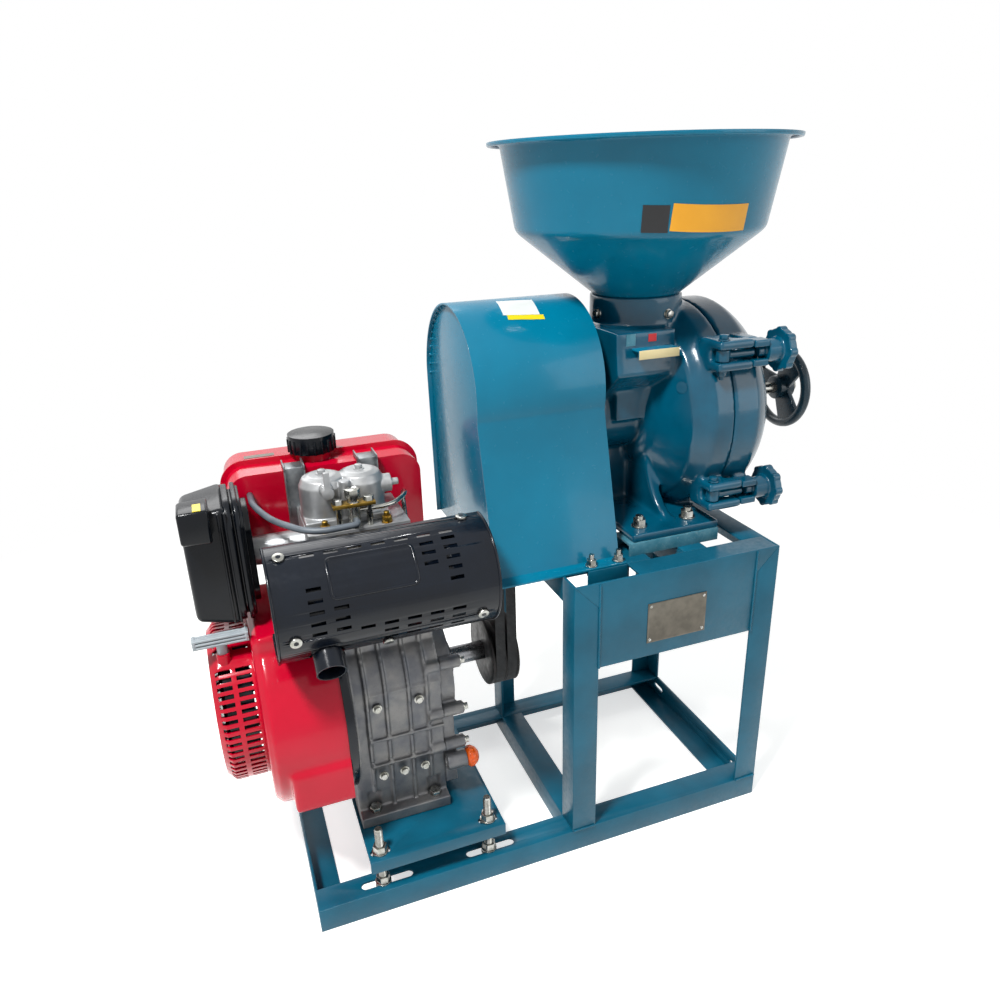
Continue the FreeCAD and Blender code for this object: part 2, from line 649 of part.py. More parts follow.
def shroud_outline(grow):
    """Fan shroud across the engine: round below, with a straight duct rising to the head."""
    radius, half, top = S.shroud_r + grow, S.shroud_half_top + grow, S.shroud_top + grow
    shoulder = root(radius * radius - half * half)
    y, z = S.crank_y, S.crank_z
    return [(y, z - radius, radius), (y + radius, z, radius), (y + half, z + shoulder, radius),
            (y + half, top), (y - half, top), (y - half, z + shoulder), (y - radius, z, radius)]


def make_shroud():
    """Fan shroud, open towards the engine, and the plate that closes it."""
    wall = S.shroud_t
    back_x = S.shroud_x + S.shroud_len
    shelf = S.shroud_x + S.step
    outer = pad("shroud_outer", "YZ", shroud_outline(0), back_x - shelf, (shelf, 0, 0))
    face = pad("shroud_face", "YZ", shroud_outline(-S.step), S.step, (S.shroud_x, 0, 0))
    inner = pad("shroud_inner", "YZ", shroud_outline(-wall), back_x - shelf - wall, (shelf + wall, 0, 0))
    inner_face = pad("shroud_inner_face", "YZ", shroud_outline(-S.step - wall), S.step,
                     (S.shroud_x + wall, 0, 0))
    mouth = rod("shroud_mouth", S.recoil_r - 12, wall, (S.shroud_x, S.crank_y, S.crank_z), "x")
    front, low = S.crank_y - S.bulge_out, S.bulge_low
    high = low + S.bulge_high
    bulge = pad("shroud_bulge", "YZ", [(front + S.bulge_wide, low), (front + S.bulge_wide, high + 18),
                                       (front + 27, high + 18), (front, high), (front, low)],
                back_x - S.bulge_x, (S.bulge_x, 0, 0))
    body = cut("shroud_shell", joined("shroud_solid", outer, face, bulge), inner, inner_face, mouth)
    keep(body, "fan_shroud")
    plate = pad("back_plate_solid", "YZ", shroud_outline(3), S.shroud_back_t, (back_x, 0, 0))
    hole = rod("back_plate_hole", S.shaft_r + 8, S.shroud_back_t, (back_x, S.crank_y, S.crank_z), "x")
    keep(cut("shroud_back_plate", plate, hole), "shroud_back_plate")


def make_recoil():
    """Slotted cup over the starter, with two rings of air slots round its wall."""
    x, y, z, radius, wall = S.recoil_x, S.crank_y, S.recoil_z, S.recoil_r, S.shroud_t
    length = S.recoil_len
    cup = turned("recoil_cup", [(wall, 0), (wall, radius - 12), (12, radius - wall), (length, radius - wall),
                                (length, radius), (11, radius), (0, radius - 11), (0, 0)], (x, y, z))
    vents = []
    for row in range(2):
        start = x + S.vent_gap + row * (S.vent_len + S.vent_gap)
        for k in range(int(S.vent_count.value)):
            angle = 360.0 * k / S.vent_count.value
            if abs(angle - GUIDE_ANGLE) > 7:
                vents.append(vent_tool(f"vent{row}_{k}", start, y, z, angle, radius))
    guide = rod("rope_guide", 9, S.grip_z - S.grip_neck - S.air_gap - (z + radius - 23),
                (S.grip_x, S.grip_y, z + radius - 23))
    keep(cut("recoil_slotted", joined("recoil_solid", cup, guide), *vents), "recoil_housing")


def vent_tool(name, x, y, z, angle, radius):
    """One air slot, cut through the cup's wall from outside."""
    item = DOC.addObject("Part::Box", name)
    bind(item, "Length", S.vent_len)
    bind(item, "Width", S.vent_w)
    bind(item, "Height", as_size(16))
    turn = FreeCAD.Rotation(V(1, 0, 0), angle)
    reach = radius - 10
    side = S.vent_w / 2
    at = (x, y - side * cosine(angle) - reach * sine(angle), z - side * sine(angle) + reach * cosine(angle))
    return place(item, at, turn)


def make_rotating_engine_parts():
    """Crankshaft, flywheel with fan vanes, and the engine's belt pulley."""
    y, z = S.crank_y, S.crank_z
    start = S.fly_x
    end = S.pulley_x + S.groove_pitch / 2 + S.pulley_edge + 4
    keep(rod("crankshaft", S.shaft_r, end - start, (start, y, z), "x"), "crankshaft")
    disc = ring("fly_disc", S.fly_r, S.shaft_r + S.run_gap / 10, S.fly_web, (start + S.fly_len - S.fly_web, y, z), "x")
    vanes = []
    for k in range(12):
        vane = DOC.addObject("Part::Box", f"vane{k}")
        bind(vane, "Length", S.fly_len - S.fly_web + 1)
        bind(vane, "Width", as_size(5))
        bind(vane, "Height", as_size(38))
        turn = FreeCAD.Rotation(V(1, 0, 0), 30 * k)
        reach = S.fly_r - 42
        place(vane, (start, y - reach * sine(30 * k), z + reach * cosine(30 * k)), turn)
        vanes.append(vane)
    keep(joined("flywheel", disc, *vanes), "flywheel")
    keep(vee_pulley("engine_pulley", S.engine_pulley_r, S.shaft_r, y, z), "engine_pulley")


def vee_pulley(name, radius, bore, y, z):
    """Two-groove belt pulley, turned about its shaft."""
    half_top = S.belt_top / 2 + S.air_gap
    depth = S.groove_depth
    tan_side = math.tan(math.radians(S.belt_angle.value))
    half_low = half_top - depth * tan_side
    half_len = S.groove_pitch / 2 + S.pulley_edge
    outline = [(-half_len, bore), (half_len, bore), (half_len, radius)]
    for side in (1, -1):
        centre = S.groove_pitch / 2 * side
        outline += [(centre + half_top, radius), (centre + half_low, radius - depth),
                    (centre - half_low, radius - depth), (centre - half_top, radius)]
    outline.append((-half_len, radius))
    return turned(name, outline, (S.pulley_x, y, z))


def make_belts():
    """Two vee belts as closed loops round both pulleys, a running gap clear of the grooves."""
    y1, z1, y2, z2 = (float(q) for q in (S.crank_y, S.crank_z, S.mill_y, S.mill_z))
    r1, r2 = float(S.engine_pulley_r), float(S.mill_pulley_r)
    top, high = float(S.belt_top), float(S.belt_h)
    narrow = top - 2 * high * math.tan(math.radians(float(S.belt_angle)))
    loops = []
    for k, side in enumerate((-1, 1)):
        x = float(S.pulley_x) + side * float(S.groove_pitch) / 2
        path = belt_path(x, (y1, z1), r1, (y2, z2), r2)
        section = Part.makePolygon([V(x - top / 2, y2 + r2, z2), V(x + top / 2, y2 + r2, z2),
                                    V(x + narrow / 2, y2 + r2 - high, z2),
                                    V(x - narrow / 2, y2 + r2 - high, z2), V(x - top / 2, y2 + r2, z2)])
        loops.append(path.makePipeShell([section], True, False))
    belts = DOC.addObject("Part::Feature", "drive_belts")
    belts.Shape = Part.makeCompound(loops)
    belts.Placement = FreeCAD.Placement(V(float(S.origin_x), float(S.origin_y), 0), FreeCAD.Rotation())
    keep(belts, "drive_belts")


def belt_path(x, low, r1, high, r2):
    """Closed line of a belt's back round two pulleys, starting at the upper one's far side."""
    gap_y, gap_z = high[0] - low[0], high[1] - low[1]
    span = math.hypot(gap_y, gap_z)
    lean = math.atan2(gap_z, gap_y)
    spread = math.acos((r2 - r1) / span)

    def spot(centre, radius, angle):
        return V(x, centre[0] + radius * math.cos(angle), centre[1] + radius * math.sin(angle))

    far = lean + math.pi - spread
    near = lean - math.pi + spread
    first = Part.LineSegment(spot(low, r1, near), spot(high, r2, near)).toShape()
    second = Part.LineSegment(spot(high, r2, far), spot(low, r1, far)).toShape()
    start_arc = Part.Arc(spot(high, r2, near), spot(high, r2, 0), spot(high, r2, lean)).toShape()
    rest_arc = Part.Arc(spot(high, r2, lean), spot(high, r2, (lean + far) / 2), spot(high, r2, far)).toShape()
    low_arc = Part.Arc(spot(low, r1, far), spot(low, r1, lean + math.pi), spot(low, r1, near)).toShape()
    return Part.Wire([start_arc, rest_arc, second, low_arc, first])


def make_fuel_system():
    """Tank of two pressed halves with a seam, its straps, cap, and the lines to the head."""
    x, y, z = S.tank_x, TANK_Y, S.tank_z
    length, wide, high, r = S.tank_len, S.tank_wid, S.tank_h, S.tank_round
    shell = pad("tank_shell", "XZ", rounded_outline(x, z, x + length, z + high, r), wide, (0, y, 0))
    grow = S.seam_w
    seam = pad("tank_seam", "XZ",
               rounded_outline(x - grow, z - grow, x + length + grow, z + high + grow, r + grow),
               S.seam_t, (0, y + wide * 0.42, 0))
    filler = rod("tank_filler", S.cap_r - 8, 14, (S.cap_x, y + wide / 2 - 12, z + high - 2))
    keep(joined("fuel_tank", shell, seam, filler), "fuel_tank")
    cap_z = z + high + 12 + S.air_gap
    ribs = [rod(f"cap_rib{k}", 2, S.cap_h - 6, (S.cap_x + S.cap_r * cosine(18 * k),
                                                y + wide / 2 - 12 + S.cap_r * sine(18 * k), cap_z))
            for k in range(20)]
    lid = rod("cap_lid", S.cap_r, S.cap_h, (S.cap_x, y + wide / 2 - 12, cap_z))
    keep(joined("fuel_cap", lid, *ribs), "fuel_cap")
    straps = []
    for k, spot in enumerate((S.strap_x1, S.strap_x2)):
        up = box(f"strap_up{k}", (S.strap_w, S.strap_t, high - 42 + S.strap_t), (spot, STRAP_Y, z + 42))
        over = box(f"strap_over{k}", (S.strap_w, S.strap_t + S.strap_over, S.strap_t),
                   (spot, STRAP_Y, z + high))
        straps.append(joined(f"strap{k}", up, over))
    keep(group("tank_straps", straps), "tank_straps")


def make_air_cleaner():
    """Black air cleaner: a body against the intake and a snap-on outer lid with its inlet."""
    x, y, z = S.cleaner_x, S.cleaner_y, S.cleaner_z
    length, wide, high = S.cleaner_len, S.cleaner_wid, S.cleaner_h

    def plate_outline(grow):
        return rounded_outline(y - grow, z - grow, y + wide + grow, z + high + grow, S.cleaner_round)

    start = x + length - 30
    discs = [pad(f"cleaner_disc{k}", "YZ", plate_outline(grow), thick, (start + shift, 0, 0))
             for k, (grow, thick, shift) in enumerate(((3, 8, 0), (-3, 4, 8), (4, 6, 12), (0, 4, 18)))]
    step = pad("cleaner_step", "YZ", plate_outline(-14), 8, (x + length - 8, 0, 0))
    keep(joined("air_cleaner_base", *discs, step), "air_cleaner_base")
    lid = pad("cleaner_lid", "YZ", plate_outline(0), length - 30, (x, 0, 0))
    snout = box("cleaner_snout", (length - 26, 52, 78), (x - 4, y - 22, z + high - 70))
    keep(joined("air_cleaner_cover", lid, snout), "air_cleaner_cover")


def shield_screw_spots():
    """Places along and round the heat shield of its screws, as (x, degrees)."""
    start, end = S.shield_x, S.shield_x + S.shield_len
    return [(start + 18, 108), (end - 28, 92), (start + 22, 193), (start + 137, 226), (end - 24, 207)]


def spoke(name, radius, inner, outer, x, angle):
    """Round bar that runs outwards from the silencer's axis."""
    item = DOC.addObject("Part::Cylinder", name)
    bind(item, "Radius", as_size(radius))
    bind(item, "Height", as_size(outer) - inner)
    at = (x, S.silencer_y + inner * cosine(angle), S.silencer_z + inner * sine(angle))
    return place(item, at, FreeCAD.Rotation(V(1, 0, 0), angle - 90))


def make_silencer():
    """Silencer drum with its tail pipe and bosses, inside a perforated heat shield."""
    x, y, z = S.shield_x, S.silencer_y, S.silencer_z
    near, far, skin = S.drum_in, S.shield_len - S.drum_in, S.silencer_r
    drum = turned("silencer_drum", [(near, 0), (near, skin - 10), (near + 10, skin), (far - 10, skin),
                                    (far, skin - 10), (far, 0)], (x, y, z))
    manifold = rod("manifold", 16, -S.fin_half_y - y, (S.bore_x + 30, y, z + 18), "y")
    down = FreeCAD.Rotation(V(1, 0, 0), 122)
    tail = rod("tail_outer", S.tail_r, S.tail_len + 36, (S.tail_x, y - 20, z - 34), "z", down)
    hole = rod("tail_hole", S.tail_r - S.tail_t, S.tail_len + 60, (S.tail_x, y - 20, z - 34), "z", down)
    spots = shield_screw_spots()
    inside = S.shield_r - S.shield_t
    bosses = [spoke(f"shield_boss{k}", 8, S.silencer_r - 12, inside - 0.44, *spot) for k, spot in enumerate(spots)]
    threads = [spoke(f"shield_thread{k}", S.shield_screw_r, S.silencer_r - 1, S.shield_r, *spot)
               for k, spot in enumerate(spots)]
    core = joined("silencer_core", drum, manifold, tail, *bosses)
    keep(cut("silencer", core, hole, *threads), "muffler")
    outer = ring("shield_ring", S.shield_r, inside, S.shield_len, (x, y, z), "x")
    opening = pad("shield_gap", "YZ", [(0, 0), (90, -150), (200, 0), (150, 200), (20, 120)],
                  S.shield_len, (x, y, z))
    outlet = rod("shield_outlet", S.tail_r + 3, 140, (S.tail_x, y - 20, z - 34), "z", down)
    holes = [spoke(f"shield_hole{k}", S.shield_screw_r + S.air_gap, inside - 2, S.shield_r + 2, *spot)
             for k, spot in enumerate(spots)]
    slots = [shield_slot(f"perf{k}", x + S.perf_start + S.perf_pitch * col, angle)
             for k, (col, angle) in enumerate(shield_slot_spots())]
    keep(cut("heat_shield", outer, opening, outlet, *holes, *slots), "heat_shield")
    screws = [joined(f"shield_fixing{k}",
                     spoke(f"shield_shank{k}", S.shield_screw_r, S.silencer_r, S.shield_r + 1, *spot),
                     spoke(f"shield_head{k}", 7.5, S.shield_r, S.shield_r + 4, *spot))
              for k, spot in enumerate(spots)]
    keep(group("shield_screws", screws), "shield_screws")


def shield_slot_spots():
    """Column and angle of every long hole: a row along the top, three clusters below it."""
    spots = [(col, 108) for col in range(7)]
    spots += [(5, 118.5 + 10.5 * k) for k in range(3)]
    spots += [(6, 116 + 10.5 * k) for k in range(5)]
    spots += [(0, 144 + 11 * k) for k in range(5)]
    spots += [(1, 165 + 11 * k) for k in range(3)]
    spots += [(col, 191) for col in range(2, 7)]
    spots += [(col, angle) for angle in (201, 214) for col in range(3, 7)]
    return spots


def shield_slot(name, x, angle):
    """One long hole through the heat shield at an angle round it."""
    item = DOC.addObject("Part::Box", name)
    bind(item, "Length", S.perf_len)
    bind(item, "Width", as_size(8))
    bind(item, "Height", S.perf_w)
    turn = FreeCAD.Rotation(V(1, 0, 0), angle)
    reach = S.shield_r - 4
    at = (x, S.silencer_y + reach * cosine(angle), S.silencer_z + reach * sine(angle))
    return place(item, at, turn)


def make_engine_small_parts():
    """Injector with its pipe and clamp, oil cap, decompression lever and starter grip."""
    head_top = S.head_z + S.head_h
    x, y = S.inj_x, S.inj_y
    stem = rod("injector_stem", 8, 44, (x, y, head_top))
    nut = hexagon("injector_nut", 19, 12, (x, y, head_top + 44))
    inlet = rod("injector_inlet", S.hose_r, 10, (x, y - 10, head_top + 14), "y")
    clamp = box("injector_clamp", (58, 18, 5), (x - 29, y - 9, head_top + 32))
    studs = [rod(f"clamp_stud{k}", 4, 42, (x + side * 21, y, head_top)) for k, side in enumerate((-1, 1))]
    nuts = [hexagon(f"clamp_nut{k}", 13, 6, (x + side * 21, y, head_top + 37)) for k, side in enumerate((-1, 1))]
    right = S.bore_x + S.fin_half_x
    route = [(x, y, head_top + 24), (right - 22, y, head_top + 24), (right + 6, -20, head_top + 27),
             (right + 10, 26, head_top + 14), (right + 16, 26, head_top - 80),
             (CASE_END + 10, S.crank_y, S.crank_z + S.side_cover_r + 49),
             (CASE_END + 10, S.crank_y, S.crank_z + S.side_cover_r + 9)]
    pipe = bent_tube("injection_pipe", route, S.pipe_r)
    keep(joined("injector_line", stem, nut, inlet, clamp, *studs, *nuts, pipe), "injector")
    pivot_x, pivot_z = S.rocker_x - S.rocker_off, head_top + S.lever_up
    face = -S.rocker_r - 3 - S.air_gap
    hub = rod("lever_hub", 8, 14, (pivot_x, face - 14, pivot_z), "y")
    lever = box("lever_arm", (8, 6, 30), (pivot_x - 4, face - 14, pivot_z))
    keep(joined("decompression_lever", hub, lever), "decompression_lever")
    cap = rod("oil_cap_head", S.oil_r, 9, (S.oil_x, S.oil_y, S.oil_z), "x")
    plug = rod("oil_cap_plug", S.oil_r - 5, 14, (S.oil_x - 14, S.oil_y, S.oil_z), "x")
    keep(joined("oil_cap", cap, plug), "oil_cap")
    y, z, r = S.grip_y, S.grip_z, S.grip_r
    bar = pad("grip_bar", "YZ", rounded_outline(y - r, z - 0.8 * r, y + r, z + 0.8 * r, 6), S.grip_len,
              (S.grip_x - S.grip_len / 2, 0, 0))
    neck = rod("grip_neck", 7, S.grip_neck, (S.grip_x, S.grip_y, S.grip_z - S.grip_neck))
    keep(joined("starter_grip", bar, neck), "starter_grip")


def bent_tube(name, points, radius):
    """Round tube along straight runs joined by tangent arcs as large as the runs allow."""
    spots = [V(*[float(q) for q in p]) for p in points]
    edges = []
    last = spots[0]
    for k in range(1, len(spots) - 1):
        corner = spots[k]
        back, ahead = spots[k - 1] - corner, spots[k + 1] - corner
        reach = 0.45 * min(back.Length, ahead.Length)
        start = corner + back.normalize() * reach
        end = corner + ahead.normalize() * reach
        half_turn = (math.pi - back.getAngle(ahead)) / 2
        bend = reach / math.tan(half_turn)
        middle_line = (back + ahead).normalize()
        middle = corner + middle_line * (math.hypot(bend, reach) - bend)
        edges.append(Part.LineSegment(last, start).toShape())
        edges.append(Part.Arc(start, middle, end).toShape())
        last = end
    edges.append(Part.LineSegment(last, spots[-1]).toShape())
    way = spots[1] - spots[0]
    section = Part.Wire([Part.Circle(spots[0], way, float(radius)).toShape()])
    tube = DOC.addObject("Part::Feature", name)
    tube.Shape = Part.Wire(edges).makePipeShell([section], True, True)
    tube.Placement = FreeCAD.Placement(V(float(S.origin_x), float(S.origin_y), 0), FreeCAD.Rotation())
    return tube


def make_fuel_hose():
    """Return hose from the tank to the injector, along the front of the head."""
    front = -S.fin_half_y - 18
    head = S.head_z + S.head_h
    route = [(S.tank_x + 30, TANK_Y, head + 28), (S.tank_x + 30, 18, head + 28),
             (S.tank_x + 50, -24, head + 18), (S.tank_x + 96, front, head + 12),
             (S.inj_x, front, head + 14), (S.inj_x, S.inj_y - 10, head + 14)]
    keep(bent_tube("fuel_hose", route, S.hose_r), "fuel_hose")


# Belt guard
def guard_outline(inset):
    """Guard across the belts: two leaning walls and a round top that they run into."""
    cy, cz, radius = S.guard_cy, S.guard_cz, S.guard_r - inset
    foot = S.stand_top
    points = []
    for sign, spot in ((1, S.guard_rear - inset), (-1, S.guard_front + inset)):
        away = (spot - cy) * sign
        drop = cz - foot
        span = root(away * away + drop * drop)
        reach = root(span * span - radius * radius)
        lean_cos = (away * radius + drop * reach) / (span * span)
        lean_sin = (away * reach - drop * radius) / (span * span)
        points.append((cy + sign * radius * lean_cos, cz + radius * lean_sin * -1))
        points.append((spot, foot))
    rear_tangent, rear_foot, front_tangent, front_foot = points
    top = (cy, cz + radius, radius)
    return [front_foot, rear_foot, rear_tangent, top, front_tangent + (radius,)]


def make_guard():
    """Folded guard and its inset end panel; returns the bolts that hold its front flange."""
    wall = S.guard_t
    outer = pad("guard_outer", "YZ", guard_outline(0), S.guard_len, (S.guard_x, 0, 0))
    inner = pad("guard_inner", "YZ", guard_outline(wall), S.guard_len, (S.guard_x, 0, 0))
    flange = box("guard_flange", (S.guard_len, S.flange_w, S.flange_t),
                 (S.guard_x, S.guard_front - S.flange_w + 1, S.stand_top))
    inset = S.panel_in + wall
    rear = box("guard_rear_flange", (S.guard_len - inset, S.flange_w - 6, S.flange_t),
               (S.guard_x + inset, S.guard_rear - S.flange_w + 5, S.stand_top))
    bolts = [(x, S.guard_bolt_y) for x in (S.guard_bolt_x1, S.guard_bolt_x2)]
    holes = [rod(f"guard_hole{k}", S.guard_bolt_r + S.hole_gap, 3 * S.flange_t,
                 (x, y, S.stand_top - S.flange_t)) for k, (x, y) in enumerate(bolts)]
    shell = cut("guard_shell", outer, inner)
    keep(cut("guard_wrap", joined("guard_folded", shell, flange, rear), *holes), "guard_wrap")
    keep(pad("guard_end_panel", "YZ", guard_outline(wall), wall, (S.guard_x + S.panel_in, 0, 0)),
         "guard_end_panel")
    fasteners = []
    for k, (x, y) in enumerate(bolts):
        low = S.stand_top - S.leg_t - 8
        shank = rod(f"guard_shank{k}", S.guard_bolt_r, S.leg_t + S.flange_t + 26, (x, y, low))
        head = hexagon(f"guard_head{k}", 13, 8, (x, y, low))
        washer = rod(f"guard_washer{k}", 9, 2, (x, y, S.stand_top + S.flange_t))
        nut = hexagon(f"guard_nut{k}", 13, 8, (x, y, S.stand_top + S.flange_t + 2))
        fasteners.append(joined(f"guard_bolt{k}", shank, head, washer, nut))
    return fasteners


# Mill
def clamp_spot(side):
    """Centre of a clamp, on the near side of the drum, above or below its axis."""
    y = S.mill_y - S.clamp_r * cosine(S.clamp_tilt)
    z = S.mill_z + side * S.clamp_r * sine(S.clamp_tilt)
    return y, z


def make_mill_body():
    """Cast body: barrel, drum back, feed box, pedestal and foot, cored and bored."""
    y, z = S.mill_y, S.mill_z
    radius, seam = S.drum_r, S.seam_x
    castings = turned("mill_turned", [
        (S.barrel_x, 0), (seam, 0), (seam, radius), (seam - 34, radius), (seam - 60, radius - 16, -60),
        (S.neck_x + 10, S.mill_barrel_r + 30), (S.neck_x, S.mill_barrel_r, 40.0),
        (S.barrel_x, S.mill_barrel_r)], (0, y, z))
    feed = pad("feed_box", "YZ", [(S.box_front, S.box_top - 62), (S.box_front + 6, S.box_top - 20),
                                  (S.box_front + 6, S.box_top), (y + 78, S.box_top), (y + 78, z + 40),
                                  (y - 40, z + 20), (y - 57, z + 40)],
               S.box_len, (S.box_x, 0, 0))
    crown = box("feed_crown", (S.crown_len, 2 * S.throat_r + 20, S.box_top - z),
                (S.crown_x, y - S.throat_r - 10, z))
    collar = rod("feed_collar", S.throat_r + 12, S.hopper_neck_z - S.box_top + 2,
                 (S.hopper_x, y, S.box_top - 2))
    top = S.stand_top + S.bar_h
    foot = box("mill_foot", (S.foot_len, 2 * S.foot_half, S.foot_t), (S.foot_x, y - S.foot_half, top))
    web = pad("mill_web", "YZ", pedestal_outline(), S.web_t, (S.foot_x + 72, 0, 0))
    rib = box("mill_rib", (S.foot_len - 20, 18, z - top), (S.foot_x + 10, y - 9, top))
    flange = box("outlet_flange", (S.spout_len, 2 * S.spout_half, S.spout_flange - S.air_gap),
                 (S.spout_x, y - S.spout_half, OUTLET_Z))
    outlet = box("outlet_neck", (S.seam_x - S.spout_x, 2 * S.spout_half, S.spout_flange + 24),
                 (S.spout_x, y - S.spout_half, OUTLET_Z))
    lugs = [body_lug(k, side) for k, side in enumerate((1, -1))]
    ears = [hinge_ear("body_ear", k, spot, S.seam_x - 30, S.seam_x - 0.5)
            for k, spot in enumerate(body_ear_heights())]
    solid = joined("mill_solid", castings, feed, crown, collar, foot, web, rib, flange, outlet,
                   *lugs, *ears)
    tools = mill_hollows() + [clamp_slot(k, side) for k, side in enumerate((1, -1))]
    tools += [rod(f"mill_foot_hole{k}", S.mill_bolt_r + S.hole_gap, S.foot_t + 2, (bx, by, top - 1))
              for k, (bx, by) in enumerate(mill_foot_spots())]
    keep(cut("mill_body", solid, *tools), "mill_body")


def pedestal_outline():
    """Upright web with hollow flanks from the foot to the drum."""
    y, z = S.mill_y, S.mill_z
    low = S.stand_top + S.bar_h + S.foot_t - 1
    wide = S.foot_half - 26
    return [(y + wide, low), (y + 62, z - 40, -110), (y + 62, z), (y - 62, z), (y - 62, z - 40),
            (y - wide, low, -110)]


def mill_hollows():
    """Bores, bearing seats, auger tunnel, grinding chamber, throat, gate slot and outlet."""
    y, z = S.mill_y, S.mill_z
    x0 = S.barrel_x
    seat = S.bearing_r
    chamber = rod("chamber", S.chamber_r, S.seam_x - S.chamber_x, (S.chamber_x, y, z), "x")
    bore = rod("shaft_way", S.mill_shaft_r + 6, S.seam_x - x0, (x0, y, z), "x")
    seats = [rod(f"seat{k}", seat, S.bearing_w, (x, y, z), "x")
             for k, x in enumerate((x0, S.neck_x - 40 - S.bearing_w))]
    tunnel = rod("auger_tunnel", S.auger_r, S.chamber_x - S.neck_x + 20, (S.neck_x - 20, y, z), "x")
    throat = rod("throat", S.throat_r, S.hopper_neck_z - S.box_top + 12, (S.hopper_x, y, S.box_top - 12))
    funnel = box("funnel", (S.gate_len - 10, 84, S.box_top - S.gate_z), (S.gate_x + 5, y - 42, S.gate_z))
    chute = box("chute", (S.gate_len - 10, 84, S.gate_z - z + 2), (S.gate_x + 5, y - 42, z))
    gate = box("gate_way", (S.gate_len + 2 * S.air_gap, S.gate_back - S.gate_front, S.gate_t + 2 * S.air_gap),
               (S.gate_x - S.air_gap, S.gate_front + S.air_gap, S.gate_z - S.air_gap))
    outlet = box("outlet_way", (S.seam_x - S.spout_x - S.spout_t, 2 * (S.spout_half - S.spout_t), 60),
                 (S.spout_x + S.spout_t, y - S.spout_half + S.spout_t, OUTLET_Z - 1))
    return [chamber, bore, *seats, tunnel, throat, funnel, chute, gate, outlet]


def body_lug(k, side):
    """Fork on the drum's rim that carries a swing bolt's pin and reaches past the door's rim."""
    y, z = clamp_spot(side)
    half = S.lug_w / 2
    start = S.clamp_pivot_x - 14
    root_y = S.mill_y - (S.drum_r - 24) * cosine(S.clamp_tilt)
    stem = box(f"lug_stem{k}", (S.seam_x - start, root_y - y + 14, S.lug_w), (start, y - 14, z - half))
    rim = S.mill_y - S.drum_r * cosine(S.clamp_tilt - 5) - 4
    fork = box(f"lug_fork{k}", (S.fork_end - start, rim - y + 14, S.lug_w), (start, y - 14, z - half))
    return joined(f"body_lug{k}", stem, fork)


def clamp_slot(k, side):
    """Slot in a body lug, open outwards, in which the swing bolt turns."""
    y, z = clamp_spot(side)
    half = S.swing_slot / 2
    pin = rod(f"lug_pin_hole{k}", 5 + S.run_gap, S.lug_w + 2, (S.clamp_pivot_x, y, z - S.lug_w / 2 - 1))
    way = box(f"lug_slot{k}", (S.fork_end - S.clamp_pivot_x + 16, 14 + S.swing_slot / 2 + 4, S.swing_slot),
              (S.clamp_pivot_x - 16, y - 15, z - half))
    return joined(f"lug_way{k}", pin, way)


def body_ear_heights():
    """Start heights of the body's two hinge ears."""
    third = S.hinge_span / 3
    return [S.mill_z - S.hinge_span / 2, S.mill_z + S.hinge_span / 2 - third]


def hinge_ear(name, k, low, x_from, x_to):
    """Hinge ear that reaches from the drum to the pin on the far side."""
    y = S.mill_y + S.hinge_y
    high = S.hinge_span / 3
    knuckle = rod(f"{name}_knuckle{k}", S.hinge_r, high, (S.seam_x, y, low))
    arm = box(f"{name}_arm{k}", (x_to - x_from, S.hinge_y - S.drum_r + 22, high),
              (x_from, S.mill_y + S.drum_r - 22, low))
    hole = rod(f"{name}_hole{k}", S.hinge_pin_r + S.run_gap, high, (S.seam_x, y, low))
    return cut(f"{name}{k}", joined(f"{name}_solid{k}", knuckle, arm), hole)


def make_mill_cover():
    """Domed door with clamp lugs, a hinge ear and the boss for the adjusting screw."""
    y, z = S.mill_y, S.mill_z
    start = S.seam_x + S.air_gap
    length, radius, wall = S.cover_len, S.drum_r, S.cover_wall
    end = start + length
    dome = turned("cover_dome", [
        (start, radius - 16), (start + 34, radius - 16), (end - wall - 8, 70, -110),
        (end - wall - 8, S.screw_r + S.run_gap), (end + S.boss_len, S.screw_r + S.run_gap), (end + S.boss_len, S.boss_r - 6),
        (end + 4, S.boss_r), (end, 72), (start + 40, radius, 120), (start, radius)], (0, y, z))
    lugs = [cover_lug(k, side) for k, side in enumerate((1, -1))]
    ears = [ear for k, side in enumerate((1, -1)) for ear in cover_ears(k, side)]
    low = S.mill_z - S.hinge_span / 6 + S.air_gap
    knuckle = rod("cover_knuckle", S.hinge_r, S.hinge_span / 3 - 2 * S.air_gap,
                  (S.seam_x, y + S.hinge_y, low))
    arm = box("cover_arm", (34, S.hinge_y - S.drum_r + 24, S.hinge_span / 3 - 2 * S.air_gap),
              (start, y + S.drum_r - 24, low))
    hole = rod("cover_hinge_hole", S.hinge_pin_r + S.run_gap, S.hinge_span, (S.seam_x, y + S.hinge_y, low - 1))
    keep(cut("mill_cover", joined("cover_solid_all", dome, knuckle, arm, *lugs), hole), "mill_cover")
    keep(group("cover_ears", ears), "cover_ears")


def cover_lug(k, side):
    """Lug on the door's rim that carries a pair of ears."""
    y, z = clamp_spot(side)
    start = S.fork_end + S.air_gap
    near = y + S.swing_slot / 2
    root_y = S.mill_y - (S.drum_r - 30) * cosine(S.clamp_tilt)
    return box(f"cover_lug{k}", (S.lug_end - start, root_y - near, S.lug_w - 6),
               (start, near, z - S.lug_w / 2 + 3))


def cover_ears(k, side):
    """Pair of ears on a door lug, on which a star knob bears and between which its bolt drops."""
    y, z = clamp_spot(side)
    start, half = S.fork_end + S.air_gap, S.swing_slot / 2
    size = (S.lug_end - start, half + 14, S.lug_w / 2 - 3 - half)
    return [box(f"cover_ear{k}_{n}", size, (start, y - 14, low))
            for n, low in enumerate((z + half, z - S.lug_w / 2 + 3))]


